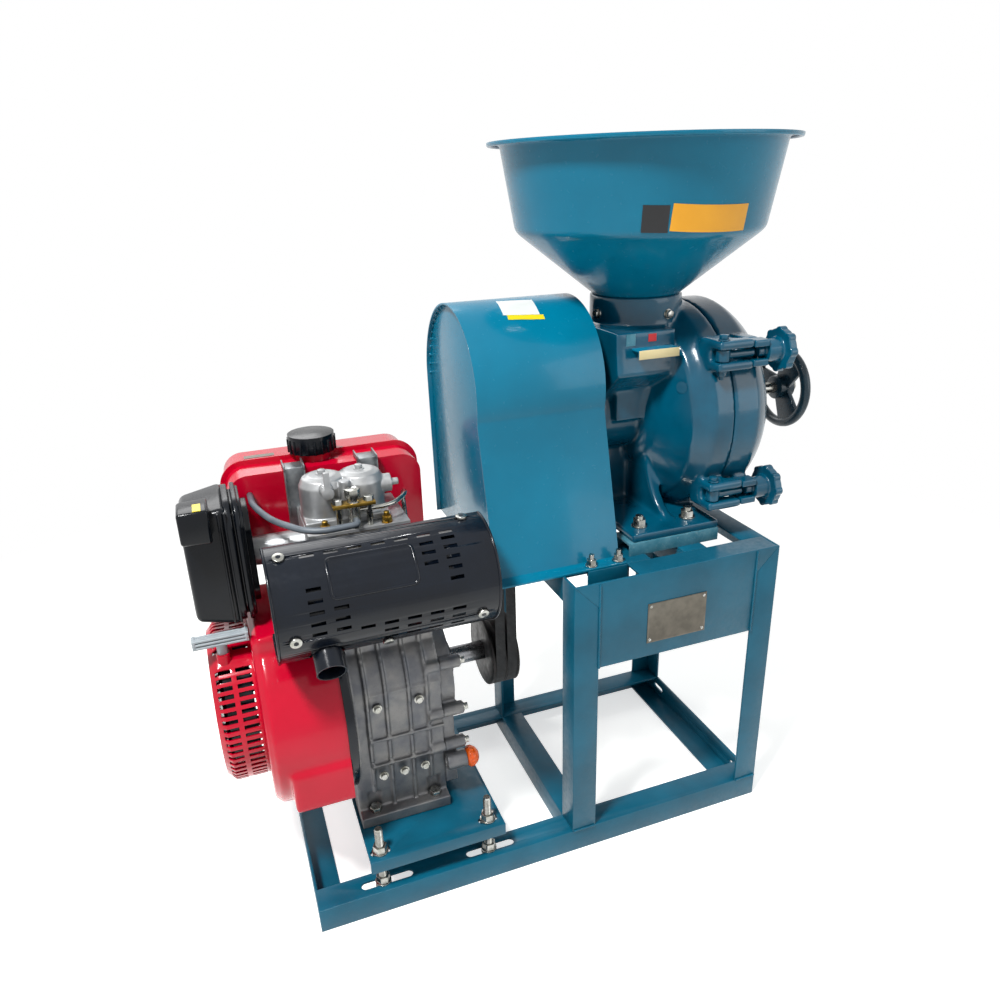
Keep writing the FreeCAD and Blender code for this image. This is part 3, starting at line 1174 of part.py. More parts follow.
def make_clamps():
    """Swing bolts on their pins, and the star knobs that ride on the door's lugs."""
    for name, side in (("upper", 1), ("lower", -1)):
        y, z = clamp_spot(side)
        pivot = S.clamp_pivot_x
        eye = rod(f"{name}_eye", 10, S.swing_slot - 1, (pivot, y, z - S.swing_slot / 2 + 0.5))
        shank = rod(f"{name}_shank", S.swing_r, S.lug_end - 20 - pivot, (pivot, y, z), "x")
        pin = rod(f"{name}_pin", 5, S.lug_w + 4, (pivot, y, z - S.lug_w / 2 - 2))
        keep(joined(f"{name}_swing_bolt", eye, shank, pin), f"{name}_swing_bolt")
        start = S.lug_end + S.air_gap
        hub = DOC.addObject("Part::Cone", f"{name}_hub")
        for prop, size in (("Radius1", 15), ("Radius2", 20), ("Height", S.knob_len - 2)):
            bind(hub, prop, as_size(size))
        place(hub, (start, y, z), TURN_TO["x"])
        face = start + S.knob_len - S.knob_t
        disc = rod(f"{name}_disc", S.knob_r, S.knob_t, (face, y, z), "x")
        lobes = [rod(f"{name}_lobe{k}", S.knob_lobe, S.knob_t,
                     (face, y + (S.knob_r - 4) * cosine(45 * k), z + (S.knob_r - 4) * sine(45 * k)), "x")
                 for k in range(int(S.knob_lobes.value))]
        collar = rod(f"{name}_collar", S.swing_slot / 2 - 1.5, 14, (start - 13, y, z), "x")
        keep(joined(f"{name}_star_knob", hub, disc, collar, *lobes), f"{name}_star_knob")


def make_mill_rotor():
    """Mill shaft with its auger, rotating disc and belt pulley, and the two bearings."""
    y, z = S.mill_y, S.mill_z
    start = S.pulley_x - S.groove_pitch / 2 - S.pulley_edge
    end = S.chamber_x + S.disc_t + S.disc_gap + S.disc_t + 4
    shaft = rod("mill_spindle", S.mill_shaft_r, end - start, (start, y, z), "x")
    flights = [ring(f"flight{k}", S.auger_r - 5, S.mill_shaft_r - 1, 4, (S.neck_x - 12 + 18 * k, y, z), "x")
               for k in range(3)]
    keep(joined("mill_shaft", shaft, *flights), "mill_shaft")
    rotor_x = S.chamber_x + S.disc_t + S.disc_gap
    keep(grinding_disc("rotor_plate", rotor_x, S.mill_shaft_r, -1), "rotor_plate")
    keep(grinding_disc("fixed_plate", S.chamber_x, S.disc_bore, 1), "fixed_plate")
    keep(spoked_pulley("mill_pulley"), "mill_pulley")
    bearings = [ring(f"bearing{k}", S.bearing_r, S.mill_shaft_r + S.run_gap, S.bearing_w, (x, y, z), "x")
                for k, x in enumerate((S.barrel_x, S.neck_x - 40 - S.bearing_w))]
    keep(group("shaft_bearings", bearings), "shaft_bearings")


def grinding_disc(name, x, bore, face):
    """Grinding disc with milling grooves across its working face."""
    disc = ring(name + "_disc", S.disc_r, bore, S.disc_t, (x, S.mill_y, S.mill_z), "x")
    grooves = []
    start = x + S.disc_t - 2 if face > 0 else x
    for k in range(8):
        groove = DOC.addObject("Part::Box", f"{name}_groove{k}")
        bind(groove, "Length", as_size(2))
        bind(groove, "Width", as_size(4))
        bind(groove, "Height", S.disc_r - S.disc_bore)
        turn = FreeCAD.Rotation(V(1, 0, 0), 45 * k)
        reach = S.disc_bore + 8
        place(groove, (start, S.mill_y - reach * sine(45 * k), S.mill_z + reach * cosine(45 * k)), turn)
        grooves.append(groove)
    return cut(name, disc, *grooves)


def spoked_pulley(name):
    """Large belt pulley, thinned to a web with round holes between rim and hub."""
    y, z = S.mill_y, S.mill_z
    solid = vee_pulley(name + "_solid", S.mill_pulley_r, S.mill_shaft_r, y, z)
    half = S.groove_pitch / 2 + S.pulley_edge
    rim_in = S.mill_pulley_r - S.groove_depth - 10
    relief = ring(name + "_relief", rim_in, 34, half - 6, (S.pulley_x + 6, y, z), "x")
    holes = [rod(f"{name}_hole{k}", 16, 2 * half, (S.pulley_x - half, y + 56 * cosine(60 * k), z + 56 * sine(60 * k)), "x")
             for k in range(6)]
    return cut(name, solid, relief, *holes)


def make_adjuster():
    """Thrust cup, adjusting screw and hand wheel on the door's axis."""
    y, z = S.mill_y, S.mill_z
    tip = S.chamber_x + 2 * S.disc_t + S.disc_gap + 4 + S.air_gap
    cup_len = 20
    keep(rod("thrust_cup", 20, cup_len, (tip, y, z), "x"), "thrust_cup")
    start = tip + cup_len + S.air_gap
    keep(rod("adjusting_screw", S.screw_r, S.wheel_x + 24 - start, (start, y, z), "x"), "adjusting_screw")
    web = S.wheel_web
    disc = ring("wheel_web", S.wheel_r - S.wheel_rim, S.screw_r, web, (S.wheel_x - web / 2, y, z), "x")
    rim = DOC.addObject("Part::Torus", "wheel_rim")
    bind(rim, "Radius1", S.wheel_r - S.wheel_rim)
    bind(rim, "Radius2", S.wheel_rim)
    place(rim, (S.wheel_x, y, z), TURN_TO["x"])
    hub = ring("wheel_hub", S.hub_r, S.screw_r, 34, (S.wheel_x - 17, y, z), "x")
    windows = [wheel_window(k) for k in range(2)]
    spoked = cut("wheel_disc", disc, *windows)
    keep(joined("handwheel", spoked, rim, hub), "handwheel")


def wheel_window(k):
    """Kidney-shaped window through the hand wheel's web."""
    inner, outer = S.hub_r + 6, S.wheel_r - 2 * S.wheel_rim - 1
    sector = ring(f"window_ring{k}", outer, inner, 20, (S.wheel_x - 10, S.mill_y, S.mill_z), "x")
    side = 1 if k else -1
    low = S.mill_y + (10 if side > 0 else -80)
    half = box(f"window_half{k}", (20, 70, 160), (S.wheel_x - 10, low, S.mill_z - 80))
    return shared(f"window{k}", sector, half)


def make_hopper():
    """Spun hopper with a spigot, a lower cone, a knee and a rolled lip."""
    wall = S.hopper_t
    r0, r1, r2, r3, r4 = (S.hopper_spigot_r, S.hopper_neck_r, S.hopper_knee_r, S.hopper_wall_r, S.hopper_lip_r)
    z0, z1, z2, z3 = S.hopper_low, S.hopper_neck_z, S.hopper_knee_z, S.hopper_top
    keep(turned("hopper", [
        (r0, z0), (r0, z1), (r1, z1), (r2, z2), (r3, z3 - wall), (r4, z3 - wall), (r4, z3), (r3 - wall, z3),
        (r2 - wall, z2 + 1), (r1 - wall, z1 + wall), (r0 - wall, z1 + wall), (r0 - wall, z0)],
        (S.hopper_x, S.mill_y, 0), "z"), "hopper")


def make_gate_and_spout():
    """Sliding feed gate with its lip, and the meal spout under the drum."""
    depth = S.gate_back - S.gate_front
    slide = box("gate_slide", (S.gate_len, depth - S.air_gap * 2, S.gate_t), (S.gate_x, S.gate_front, S.gate_z))
    lip = box("gate_lip", (S.gate_len, S.gate_t, S.gate_lip), (S.gate_x, S.gate_front, S.gate_z - S.gate_lip))
    keep(joined("feed_gate", slide, lip), "feed_gate")
    y = S.mill_y
    half, wall = S.spout_half, S.spout_t
    top = OUTLET_Z
    outer = box("spout_outer", (S.spout_len, 2 * half, top - S.spout_low), (S.spout_x, y - half, S.spout_low))
    inner = box("spout_inner", (S.spout_len - 2 * wall, 2 * (half - wall), top - S.spout_low),
                (S.spout_x + wall, y - half + wall, S.spout_low))
    keep(cut("discharge_spout", outer, inner), "discharge_spout")


def make_frame_bolts(bolts):
    """Bolts of the guard, the mill's foot and the crankcase, and the door's hinge pin."""
    for k, (x, y) in enumerate(mill_foot_spots()):
        top = S.stand_top + S.bar_h + S.foot_t
        low = top - S.foot_t - S.bar_t - 8
        shank = rod(f"mill_shank{k}", S.mill_bolt_r, top + 18 - low, (x, y, low))
        head = hexagon(f"mill_head{k}", S.nut_af, 8, (x, y, low))
        washer = rod(f"mill_washer{k}", S.washer_r, S.washer_t, (x, y, top))
        nut = hexagon(f"mill_nut{k}", S.nut_af, S.nut_h, (x, y, top + S.washer_t))
        bolts.append(joined(f"mill_bolt{k}", shank, head, washer, nut))
    for k, (x, y) in enumerate(engine_foot_spots()):
        top = S.plate_top + S.case_foot_h
        low = S.plate_top - S.plate_t - 10
        shank = rod(f"case_shank{k}", S.foot_bolt_r, top + 4 - low, (x, y, low))
        head = hexagon(f"case_head{k}", 16, 8, (x, y, top))
        nut = hexagon(f"case_nut{k}", 16, 8, (x, y, low + 2))
        bolts.append(joined(f"case_bolt{k}", shank, head, nut))
    keep(group("frame_bolts", bolts), "frame_bolts")
    spot = (S.seam_x, S.mill_y + S.hinge_y, S.mill_z - S.hinge_span / 2 - 4)
    keep(rod("hinge_pin", S.hinge_pin_r, S.hinge_span + 8, spot), "cover_hinge_pin")


def export_all():
    """Check every object, then write one file per sub-part."""
    DOC.recompute()
    for item in DOC.Objects:
        bad = [word for word in item.State if word in ("Invalid", "Error")]
        if bad:
            raise ValueError(f"{item.Name} failed: {item.State}")
    os.makedirs("parts", exist_ok=True)
    for item in NODES:
        shape = item.Shape
        if shape.isNull() or not shape.isValid() or not shape.Solids:
            raise ValueError(f"{item.Label} has no valid solid")
        shape.exportStep(f"parts/{item.Label}.step")
    print(len(NODES), "sub-parts,", len(DOC.Objects), "objects")


def main():
    """Build every sub-part of the machine and write it out."""
    make_base_rails()
    make_posts()
    make_top_frame()
    make_bearers()
    make_engine_mount()
    make_crankcase()
    make_side_cover()
    make_cylinder()
    make_rocker_cover()
    make_shroud()
    make_recoil()
    make_rotating_engine_parts()
    make_belts()
    make_fuel_system()
    make_air_cleaner()
    make_silencer()
    make_engine_small_parts()
    make_fuel_hose()
    guard_bolts = make_guard()
    make_mill_body()
    make_mill_cover()
    make_clamps()
    make_mill_rotor()
    make_adjuster()
    make_hopper()
    make_gate_and_spout()
    make_frame_bolts(guard_bolts)
    export_all()


main()
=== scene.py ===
"""Grain grinder: camera, light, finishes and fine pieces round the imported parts."""
import json
import logging
import math
from dataclasses import dataclass
from enum import Enum
from typing import Callable, Sequence

import bpy
from mathutils import Matrix, Vector


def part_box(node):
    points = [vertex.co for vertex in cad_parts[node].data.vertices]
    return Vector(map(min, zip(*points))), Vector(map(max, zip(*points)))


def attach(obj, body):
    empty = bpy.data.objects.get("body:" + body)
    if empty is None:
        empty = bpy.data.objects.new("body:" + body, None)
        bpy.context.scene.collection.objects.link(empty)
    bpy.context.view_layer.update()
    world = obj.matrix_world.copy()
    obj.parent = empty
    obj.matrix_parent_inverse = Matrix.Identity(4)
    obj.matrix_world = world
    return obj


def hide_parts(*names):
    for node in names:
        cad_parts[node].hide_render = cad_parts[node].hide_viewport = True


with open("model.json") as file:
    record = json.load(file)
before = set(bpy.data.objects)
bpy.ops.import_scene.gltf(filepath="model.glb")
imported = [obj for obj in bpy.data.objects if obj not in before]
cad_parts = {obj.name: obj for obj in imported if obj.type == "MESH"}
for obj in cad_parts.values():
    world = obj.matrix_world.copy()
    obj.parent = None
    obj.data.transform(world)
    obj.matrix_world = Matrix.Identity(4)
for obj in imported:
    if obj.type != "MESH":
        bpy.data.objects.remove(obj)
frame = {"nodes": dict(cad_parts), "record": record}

log = logging.getLogger("grain_grinder")

MM = 0.001
STAND_MIDDLE = (-36.0, -23.0)  # where the middle of the stand lies in the frame, in mm
MERGE = 0.00001  # corners nearer to each other than this, in metres, are one
GLOSS_SCALE = 120.0  # a surface's gloss changes about every 8 mm
Spot = tuple[float, float, float]


class Axis(Enum):
    """Direction that a turned piece's own axis points in."""

    X = (1.0, 0.0, 0.0)
    Y = (0.0, 1.0, 0.0)
    Z = (0.0, 0.0, 1.0)


class Bump(Enum):
    """Kind of relief that a finish carries."""

    GRAIN = "sand grain"
    PEEL = "orange peel"
    BRUSHED = "brushed lines"
    WOVEN = "woven cover"


# Small helpers
def spot(x: float, y: float, z: float) -> Vector:
    """Millimetres from the middle of the stand, turned into metres in the frame."""
    return Vector((x + STAND_MIDDLE[0], y + STAND_MIDDLE[1], z)) * MM


def linear(code: str) -> tuple[float, float, float, float]:
    """Turn an sRGB hex colour into linear red, green, blue and alpha.

    Args:
        code: colour such as "#1A2B3C".

    Returns:
        The four numbers that a colour socket takes.
    """
    parts = [int(code[k:k + 2], 16) / 255 for k in (1, 3, 5)]
    red, green, blue = (c / 12.92 if c <= 0.04045 else ((c + 0.055) / 1.055) ** 2.4 for c in parts)
    return red, green, blue, 1.0


def add_node(tree: bpy.types.NodeTree, kind: str, inputs: dict | None = None, **settings) -> bpy.types.Node:
    """Add a node with its settings and links.

    Args:
        tree: node tree that takes the node.
        kind: Blender's name of the node type.
        inputs: value, or socket to link from, for each input's name or number.
        settings: properties of the node.

    Returns:
        The new node.
    """
    node = tree.nodes.new(kind)
    for name, value in settings.items():
        setattr(node, name, value)
    for name, value in (inputs or {}).items():
        if isinstance(value, bpy.types.NodeSocket):
            tree.links.new(value, node.inputs[name])
        else:
            node.inputs[name].default_value = value
    return node


# Finishes
@dataclass(frozen=True)
class Finish:
    """A surface finish, with its colours, gloss and relief in real millimetres."""

    name: str
    colour: str
    patch: str
    rough: tuple[float, float]
    metal: float = 0.0
    bump: Bump = Bump.PEEL
    grain: float = 1.0
    depth: float = 0.05
    patch_size: float = 60.0
    coat: float = 0.0
    coat_rough: float = 0.1
    specular: float = 0.5
    speck: str = ""
    speck_size: float = 4.0
    speck_share: float = 0.3
    brush: Spot = (1.0, 1.0, 12.0)

    def material(self) -> bpy.types.Material:
        """Build the material once and hand it out again afterwards."""
        found = bpy.data.materials.get(self.name)
        if found:
            return found
        material = bpy.data.materials.new(self.name)
        material.use_nodes = True
        tree = material.node_tree
        tree.nodes.clear()
        where = add_node(tree, "ShaderNodeTexCoord").outputs["Object"]
        broad = add_node(tree, "ShaderNodeTexNoise",
                         {"Vector": where, "Scale": 1000 / self.patch_size, "Detail": 3.0})
        tone = add_node(tree, "ShaderNodeMapRange",
                        {"Value": broad.outputs["Fac"], "From Min": 0.35, "From Max": 0.65}).outputs["Result"]
        colour = add_node(tree, "ShaderNodeMix", {0: tone, 6: linear(self.colour), 7: linear(self.patch)},
                          data_type="RGBA").outputs[2]
        if self.speck:
            colour = self.specks(tree, where, colour)
        low, high = self.rough
        fine = add_node(tree, "ShaderNodeTexNoise", {"Vector": where, "Scale": GLOSS_SCALE, "Detail": 4.0})
        rough = add_node(tree, "ShaderNodeMapRange",
                         {"Value": fine.outputs["Fac"], "From Min": 0.3, "From Max": 0.7,
                          "To Min": low, "To Max": high}).outputs["Result"]
        surface = add_node(tree, "ShaderNodeBsdfPrincipled",
                           {"Base Color": colour, "Roughness": rough, "Metallic": self.metal,
                            "Coat Weight": self.coat, "Coat Roughness": self.coat_rough,
                            "Specular IOR Level": self.specular,
                            "Normal": self.relief(tree, where)})
        add_node(tree, "ShaderNodeOutputMaterial", {"Surface": surface.outputs["BSDF"]})
        return material

    def specks(self, tree: bpy.types.NodeTree, where: bpy.types.NodeSocket,
               colour: bpy.types.NodeSocket) -> bpy.types.NodeSocket:
        """Scatter small spots of a second colour, such as dust or rubbed places.

        Args:
            tree: the material's node tree.
            where: coordinates to read.
            colour: colour under the spots.

        Returns:
            The colour with the spots in it.
        """
        noise = add_node(tree, "ShaderNodeTexNoise",
                         {"Vector": where, "Scale": 1000 / self.speck_size, "Detail": 6.0, "Roughness": 0.7})
        share = add_node(tree, "ShaderNodeMapRange",
                         {"Value": noise.outputs["Fac"], "From Min": 0.62 - 0.2 * self.speck_share,
                          "From Max": 0.78, "To Max": self.speck_share + 0.2}).outputs["Result"]
        return add_node(tree, "ShaderNodeMix", {0: share, 6: colour, 7: linear(self.speck)},
                        data_type="RGBA").outputs[2]

    def relief(self, tree: bpy.types.NodeTree, where: bpy.types.NodeSocket) -> bpy.types.NodeSocket:
        """Relief of the finish, as a normal.

        Args:
            tree: the material's node tree.
            where: coordinates to read.

        Returns:
            The normal to feed to the shader.
        """
        scale = 1000 / self.grain
        if self.bump is Bump.BRUSHED:
            lines = add_node(tree, "ShaderNodeMapping", {"Vector": where, "Scale": self.brush}).outputs[0]
            height = add_node(tree, "ShaderNodeTexNoise",
                              {"Vector": lines, "Scale": scale, "Detail": 4.0}).outputs["Fac"]
        elif self.bump is Bump.WOVEN:
            height = add_node(tree, "ShaderNodeTexWave",
                              {"Vector": where, "Scale": scale / math.tau, "Distortion": 1.0, "Detail": 1.0},
                              wave_type="BANDS", bands_direction="DIAGONAL").outputs["Fac"]
        else:
            detail, harsh = (5.0, 0.65) if self.bump is Bump.GRAIN else (1.0, 0.4)
            height = add_node(tree, "ShaderNodeTexNoise", {"Vector": where, "Scale": scale, "Detail": detail,
                                                           "Roughness": harsh}).outputs["Fac"]
        return add_node(tree, "ShaderNodeBump",
                        {"Height": height, "Strength": 1.0, "Distance": self.depth * MM}).outputs["Normal"]


# Air-drying enamel sprayed on rolled steel: glossy, with a soft orange peel
TEAL_SHEET = Finish("teal_enamel_sheet", "#007493", "#006A87", (0.18, 0.28), coat=0.12, coat_rough=0.06,
                    specular=0.26, grain=12.0, depth=0.03, patch_size=140)
# The same enamel on angle iron, its colour darkened as painted shade for faces that the light from above
# misses; duller, with rolling marks under it and a little dust
SHADED_TEAL_ANGLE = Finish("teal_enamel_angle_painted_shade", "#055E78", "#034F66", (0.3, 0.44), specular=0.32,
                    grain=5.0, depth=0.1, patch_size=90, speck="#2F7486", speck_size=5, speck_share=0.14)
# Enamel over fettled and filled cast iron: glossy, with slow waves
TEAL_CASTING = Finish("teal_enamel_casting", "#00526C", "#00435A", (0.14, 0.25), coat=0.2, coat_rough=0.06,
                      specular=0.4, bump=Bump.GRAIN, grain=11.0, depth=0.16, patch_size=70)
# Baked enamel on pressed steel: deep gloss and a clear coat
RED_GLOSS = Finish("red_baked_enamel", "#C4022A", "#B40123", (0.16, 0.24), coat=0.15, coat_rough=0.03,
                   specular=0.25, grain=14.0, depth=0.04, patch_size=120)
# Semi-gloss stove paint on thin steel; its slight blue is a painted reflection
BLACK_SATIN_BLUE_REFLECTION = Finish("black_stove_paint_painted_reflection", "#060C16", "#0A121D", (0.14, 0.24), grain=12.0, depth=0.04,
                     patch_size=50, specular=0.32)
# Moulded polypropylene: even sheen, fine moulded grain; the faint blue in its black is a painted reflection
BLACK_PLASTIC_BLUE_REFLECTION = Finish("black_moulded_plastic_painted_reflection", "#060A10", "#0A0F16", (0.16, 0.26), grain=5.0, depth=0.02,
                       patch_size=40, specular=0.26)
# Grey of the starter grip's ribs, ends and neck: painted highlight standing for the sheen on its black
# plastic
GRIP_HIGHLIGHT_GREY = Finish("grip_painted_highlight_grey", "#98A1A7", "#A4ACB1", (0.34, 0.46), bump=Bump.GRAIN, grain=1.0,
                      depth=0.03, patch_size=30)
# Die-cast aluminium, shot-blasted: grey, matt, with a dusting of darker pores
CAST_ALLOY = Finish("die_cast_aluminium", "#807F7E", "#63656A", (0.4, 0.54), metal=0.6, bump=Bump.GRAIN,
                    grain=1.6, depth=0.12, patch_size=30, speck="#47494D", speck_size=2.2, speck_share=0.35)
# Cleaner, paler cast aluminium of the head and its covers
HEAD_ALLOY = Finish("pale_cast_aluminium", "#AFB0B0", "#999B9D", (0.34, 0.46), metal=0.65, bump=Bump.GRAIN,
                    grain=1.6, depth=0.08, patch_size=26, speck="#70757A", speck_size=2.2, speck_share=0.22)
# Zinc-plated steel: bright, faintly yellow and cloudy
ZINC_STEEL = Finish("zinc_plated_steel", "#B2B2AE", "#97978F", (0.2, 0.32), metal=1.0, bump=Bump.GRAIN,
                    grain=1.5, depth=0.03, patch_size=8, speck="#5C5A50", speck_size=2.5, speck_share=0.25)
# Ground steel of shafts: fine lines round it
GROUND_STEEL = Finish("ground_steel", "#8C8D90", "#77787B", (0.22, 0.34), metal=1.0, bump=Bump.BRUSHED,
                      grain=2.0, depth=0.02, patch_size=25)
# Galvanised strip of the tank straps: pale, with soft spangle
GALVANISED = Finish("galvanised_strip", "#8F9395", "#7A7F82", (0.34, 0.48), metal=0.85, bump=Bump.GRAIN,
                    grain=4.0, depth=0.02, patch_size=9)
# Grey cast iron, machined and oiled: dark, near black in the shade
DARK_IRON = Finish("oiled_cast_iron", "#1A1919", "#252323", (0.38, 0.55), metal=0.6, bump=Bump.GRAIN,
                   grain=2.0, depth=0.08, patch_size=25, speck="#5A4A40", speck_size=3, speck_share=0.2)
# Dark enamel on the cast hand wheel: near black, faintly green
WHEEL_ENAMEL = Finish("dark_enamel_casting", "#1B3441", "#142A35", (0.22, 0.34), specular=0.4,
                      bump=Bump.GRAIN, grain=6.0, depth=0.12, patch_size=30)
# Wrapped rubber belt: matt, with the cloth of its cover
BELT_RUBBER = Finish("wrapped_belt_rubber", "#131416", "#1A1B1D", (0.62, 0.78), bump=Bump.WOVEN,
                     grain=1.6, depth=0.15, patch_size=20)
# Extruded nitrile hose, grey with bloom
HOSE_RUBBER = Finish("grey_nitrile_hose", "#545C64", "#646C74", (0.38, 0.5), grain=2.0, depth=0.03,
                     patch_size=20)
# Injection-moulded orange cap
ORANGE_PLASTIC = Finish("orange_moulded_plastic", "#F06408", "#E45804", (0.22, 0.32), coat=0.2, grain=3.0,
                        depth=0.03, patch_size=20)
# Yellow-zinc plated steel of the clamp and the unions
YELLOW_ZINC = Finish("yellow_passivated_zinc", "#A8873C", "#92742F", (0.26, 0.38), metal=0.9,
                     bump=Bump.GRAIN, grain=1.5, depth=0.03, patch_size=8, speck="#5E4A22", speck_size=2.5,
                     speck_share=0.25)
# Bare rolled steel of the spout: grey with mill scale
BARE_SHEET = Finish("bare_rolled_steel", "#7C7F7F", "#686D6E", (0.34, 0.5), metal=0.8, bump=Bump.BRUSHED,
                    grain=6.0, depth=0.03, patch_size=30, speck="#4E5354", speck_size=6, speck_share=0.25)
# Enamel rubbed pale on the bars that the mill's foot was shimmed on
PALE_TEAL = Finish("rubbed_enamel", "#4D8292", "#306E80", (0.36, 0.5), grain=4.0, depth=0.1, patch_size=18,
                   specular=0.35, speck="#8FA8AF", speck_size=5, speck_share=0.35)
# Brushed aluminium of the name plate, left blank
PLATE_ALLOY = Finish("brushed_plate_aluminium", "#5F5B53", "#6C675E", (0.3, 0.42), metal=0.8,
                     bump=Bump.BRUSHED, grain=3.0, depth=0.02, patch_size=15)


def vinyl(name: str, colour: str, patch: str) -> Finish:
    """Printed vinyl: a plain colour under a clear film, smooth and evenly glossy."""
    return Finish(name, colour, patch, (0.3, 0.36), coat=0.2, grain=9.0, depth=0.03)


AMBER_VINYL = vinyl("amber_vinyl", "#EBA514", "#E49E10")
DARK_VINYL = vinyl("dark_vinyl", "#101114", "#16171B")
WHITE_VINYL = vinyl("white_vinyl", "#DCDDD9", "#D3D5D1")
YELLOW_VINYL = vinyl("yellow_vinyl", "#E0CB14", "#D6C110")
RED_VINYL = vinyl("red_vinyl", "#CC1018", "#BE0E16")
# Cream paint of the feed gate's lip
CREAM_PAINT = Finish("cream_paint", "#D8C898", "#CCBC8C", (0.4, 0.5), grain=4.0, depth=0.05)


# Modelling helpers
def alone(piece: bpy.types.Object) -> None:
    """Select and activate one object, and nothing else."""
    if bpy.context.mode != "OBJECT":
        bpy.ops.object.mode_set(mode="OBJECT")
    bpy.ops.object.select_all(action="DESELECT")
    piece.hide_viewport = False
    piece.select_set(True)
    bpy.context.view_layer.objects.active = piece


def start(piece: bpy.types.Object) -> None:
    """Open an object in edit mode with all of it selected."""
    alone(piece)
    bpy.ops.object.mode_set(mode="EDIT")
    bpy.ops.mesh.select_mode(type="VERT")
    bpy.ops.mesh.select_all(action="SELECT")


def done() -> None:
    """Leave edit mode."""
    bpy.ops.object.mode_set(mode="OBJECT")


def pick(piece: bpy.types.Object, kind: str, chosen: Callable[..., bool]) -> None:
    """Open an object in edit mode with only some of its faces or corners selected.

    Args:
        piece: object to open.
        kind: "FACE" or "VERT".
        chosen: test that each face or corner of its mesh is put to.
    """
    start(piece)
    bpy.ops.mesh.select_mode(type=kind)
    bpy.ops.mesh.select_all(action="DESELECT")
    done()
    for element in piece.data.polygons if kind == "FACE" else piece.data.vertices:
        element.select = chosen(element)
    bpy.ops.object.mode_set(mode="EDIT")


def turn_about(piece: bpy.types.Object, centre: Vector, degrees: float, axis: Axis) -> None:
    """Turn an object's mesh about a point.

    Args:
        piece: object to turn.
        centre: the point, in metres in the frame.
        degrees: how far.
        axis: direction that it turns round.
    """
    turn = Matrix.Rotation(math.radians(degrees), 4, Vector(axis.value))
    piece.data.transform(Matrix.Translation(centre) @ turn @ Matrix.Translation(-centre))


def apply_all(piece: bpy.types.Object) -> None:
    """Apply an object's place and then every modifier on it."""
    alone(piece)
    bpy.ops.object.transform_apply(location=True, rotation=True, scale=True)
    for modifier in list(piece.modifiers):
        bpy.ops.object.modifier_apply(modifier=modifier.name)


def smooth(piece: bpy.types.Object, angle: float = 35.0) -> None:
    """Shade an object smooth where its faces meet flatter than an angle in degrees."""
    alone(piece)
    bpy.ops.object.shade_smooth_by_angle(angle=math.radians(angle))


def bevel(piece: bpy.types.Object, width: float, segments: int = 2, angle: float = 35.0) -> None:
    """Round the sharp edges of an object.

    Args:
        piece: object to round.
        width: width of the rounding in mm.
        segments: faces across it.
        angle: edges sharper than this many degrees are rounded.
    """
    modifier = piece.modifiers.new("edges", "BEVEL")
    modifier.width = width * MM
    modifier.segments = segments
    modifier.limit_method = "ANGLE"
    modifier.angle_limit = math.radians(angle)
    apply_all(piece)


def dress(piece: bpy.types.Object, finish: Finish, body: str,
          angle: float = 35.0) -> bpy.types.Object:
    """Finish a piece: material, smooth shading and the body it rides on.

    Args:
        piece: object in its place.
        finish: surface finish.
        body: CAD body that it moves with.
        angle: limit of smooth shading in degrees.

    Returns:
        The same object.
    """
    apply_all(piece)
    piece.data.materials.clear()
    piece.data.materials.append(finish.material())
    smooth(piece, angle)
    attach(piece, body)
    log.info("%s: %d faces", piece.name, len(piece.data.polygons))
    return piece


def node_facts(node: str) -> tuple[str, str]:
    """Look up what the record says of a CAD node.

    Args:
        node: name of the node.

    Returns:
        Its body and its material slot.
    """
    record = frame["record"]
    body = next(b for b, nodes in record["behaviour"]["bodies"].items() if node in nodes)
    slot = next(p["material_slot"] for p in record["subparts"] if p["node"] == node)
    return body, slot


def copy_of(node: str) -> bpy.types.Object:
    """Copy a CAD node and merge its loose triangles; the copy replaces the node.

    Args:
        node: name of the node.

    Returns:
        The copy, ready to be shaped.
    """
    source = frame["nodes"][node]
    piece = bpy.data.objects.new(f"{node}_skin", source.data.copy())
    bpy.context.scene.collection.objects.link(piece)
    start(piece)
    bpy.ops.mesh.remove_doubles(threshold=MERGE)
    done()
    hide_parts(node)
    return piece


def skin(node: str, finish: Finish, edge: float = 0.0, segments: int = 2,
         angle: float = 35.0) -> bpy.types.Object:
    """Dress a rolled, turned or pressed part with softly rounded edges.

    Args:
        node: CAD node.
        finish: surface finish.
        edge: rounding of its edges in mm, or 0 for none.
        segments: faces across the rounding.
        angle: edges sharper than this many degrees are rounded, the rest shade smooth.

    Returns:
        The dressed copy.
    """
    piece = copy_of(node)
    flat = math.radians(0.4)
    if edge:
        start(piece)
        bpy.ops.mesh.dissolve_limited(angle_limit=flat)
        done()
        bevel(piece, edge, segments, angle)
    body, slot = node_facts(node)
    return dress(piece, finish, body, angle)


def even_out(piece: bpy.types.Object, cell: float, rounds: int) -> None:
    """Rebuild an object from fine cells and smooth them, so that its edges round off.

    Args:
        piece: object to rebuild.
        cell: size of the cells in mm.
        rounds: how often the surface is evened out.
    """
    remesh = piece.modifiers.new("cells", "REMESH")
    remesh.mode = "VOXEL"
    remesh.voxel_size = cell * MM
    even = piece.modifiers.new("even", "SMOOTH")
    even.factor = 0.5
    even.iterations = rounds


def casting(node: str, finish: Finish, cell: float, rounds: int = 3) -> bpy.types.Object:
    """Dress a cast part, whose every edge and corner is rounded off.

    Args:
        node: CAD node.
        finish: surface finish.
        cell: size in mm of the fine cells that the casting is rebuilt from.
        rounds: how often the surface is evened out.

    Returns:
        The dressed copy.
    """
    piece = copy_of(node)
    even_out(piece, cell, rounds)
    body, slot = node_facts(node)
    return dress(piece, finish, body, 180.0)


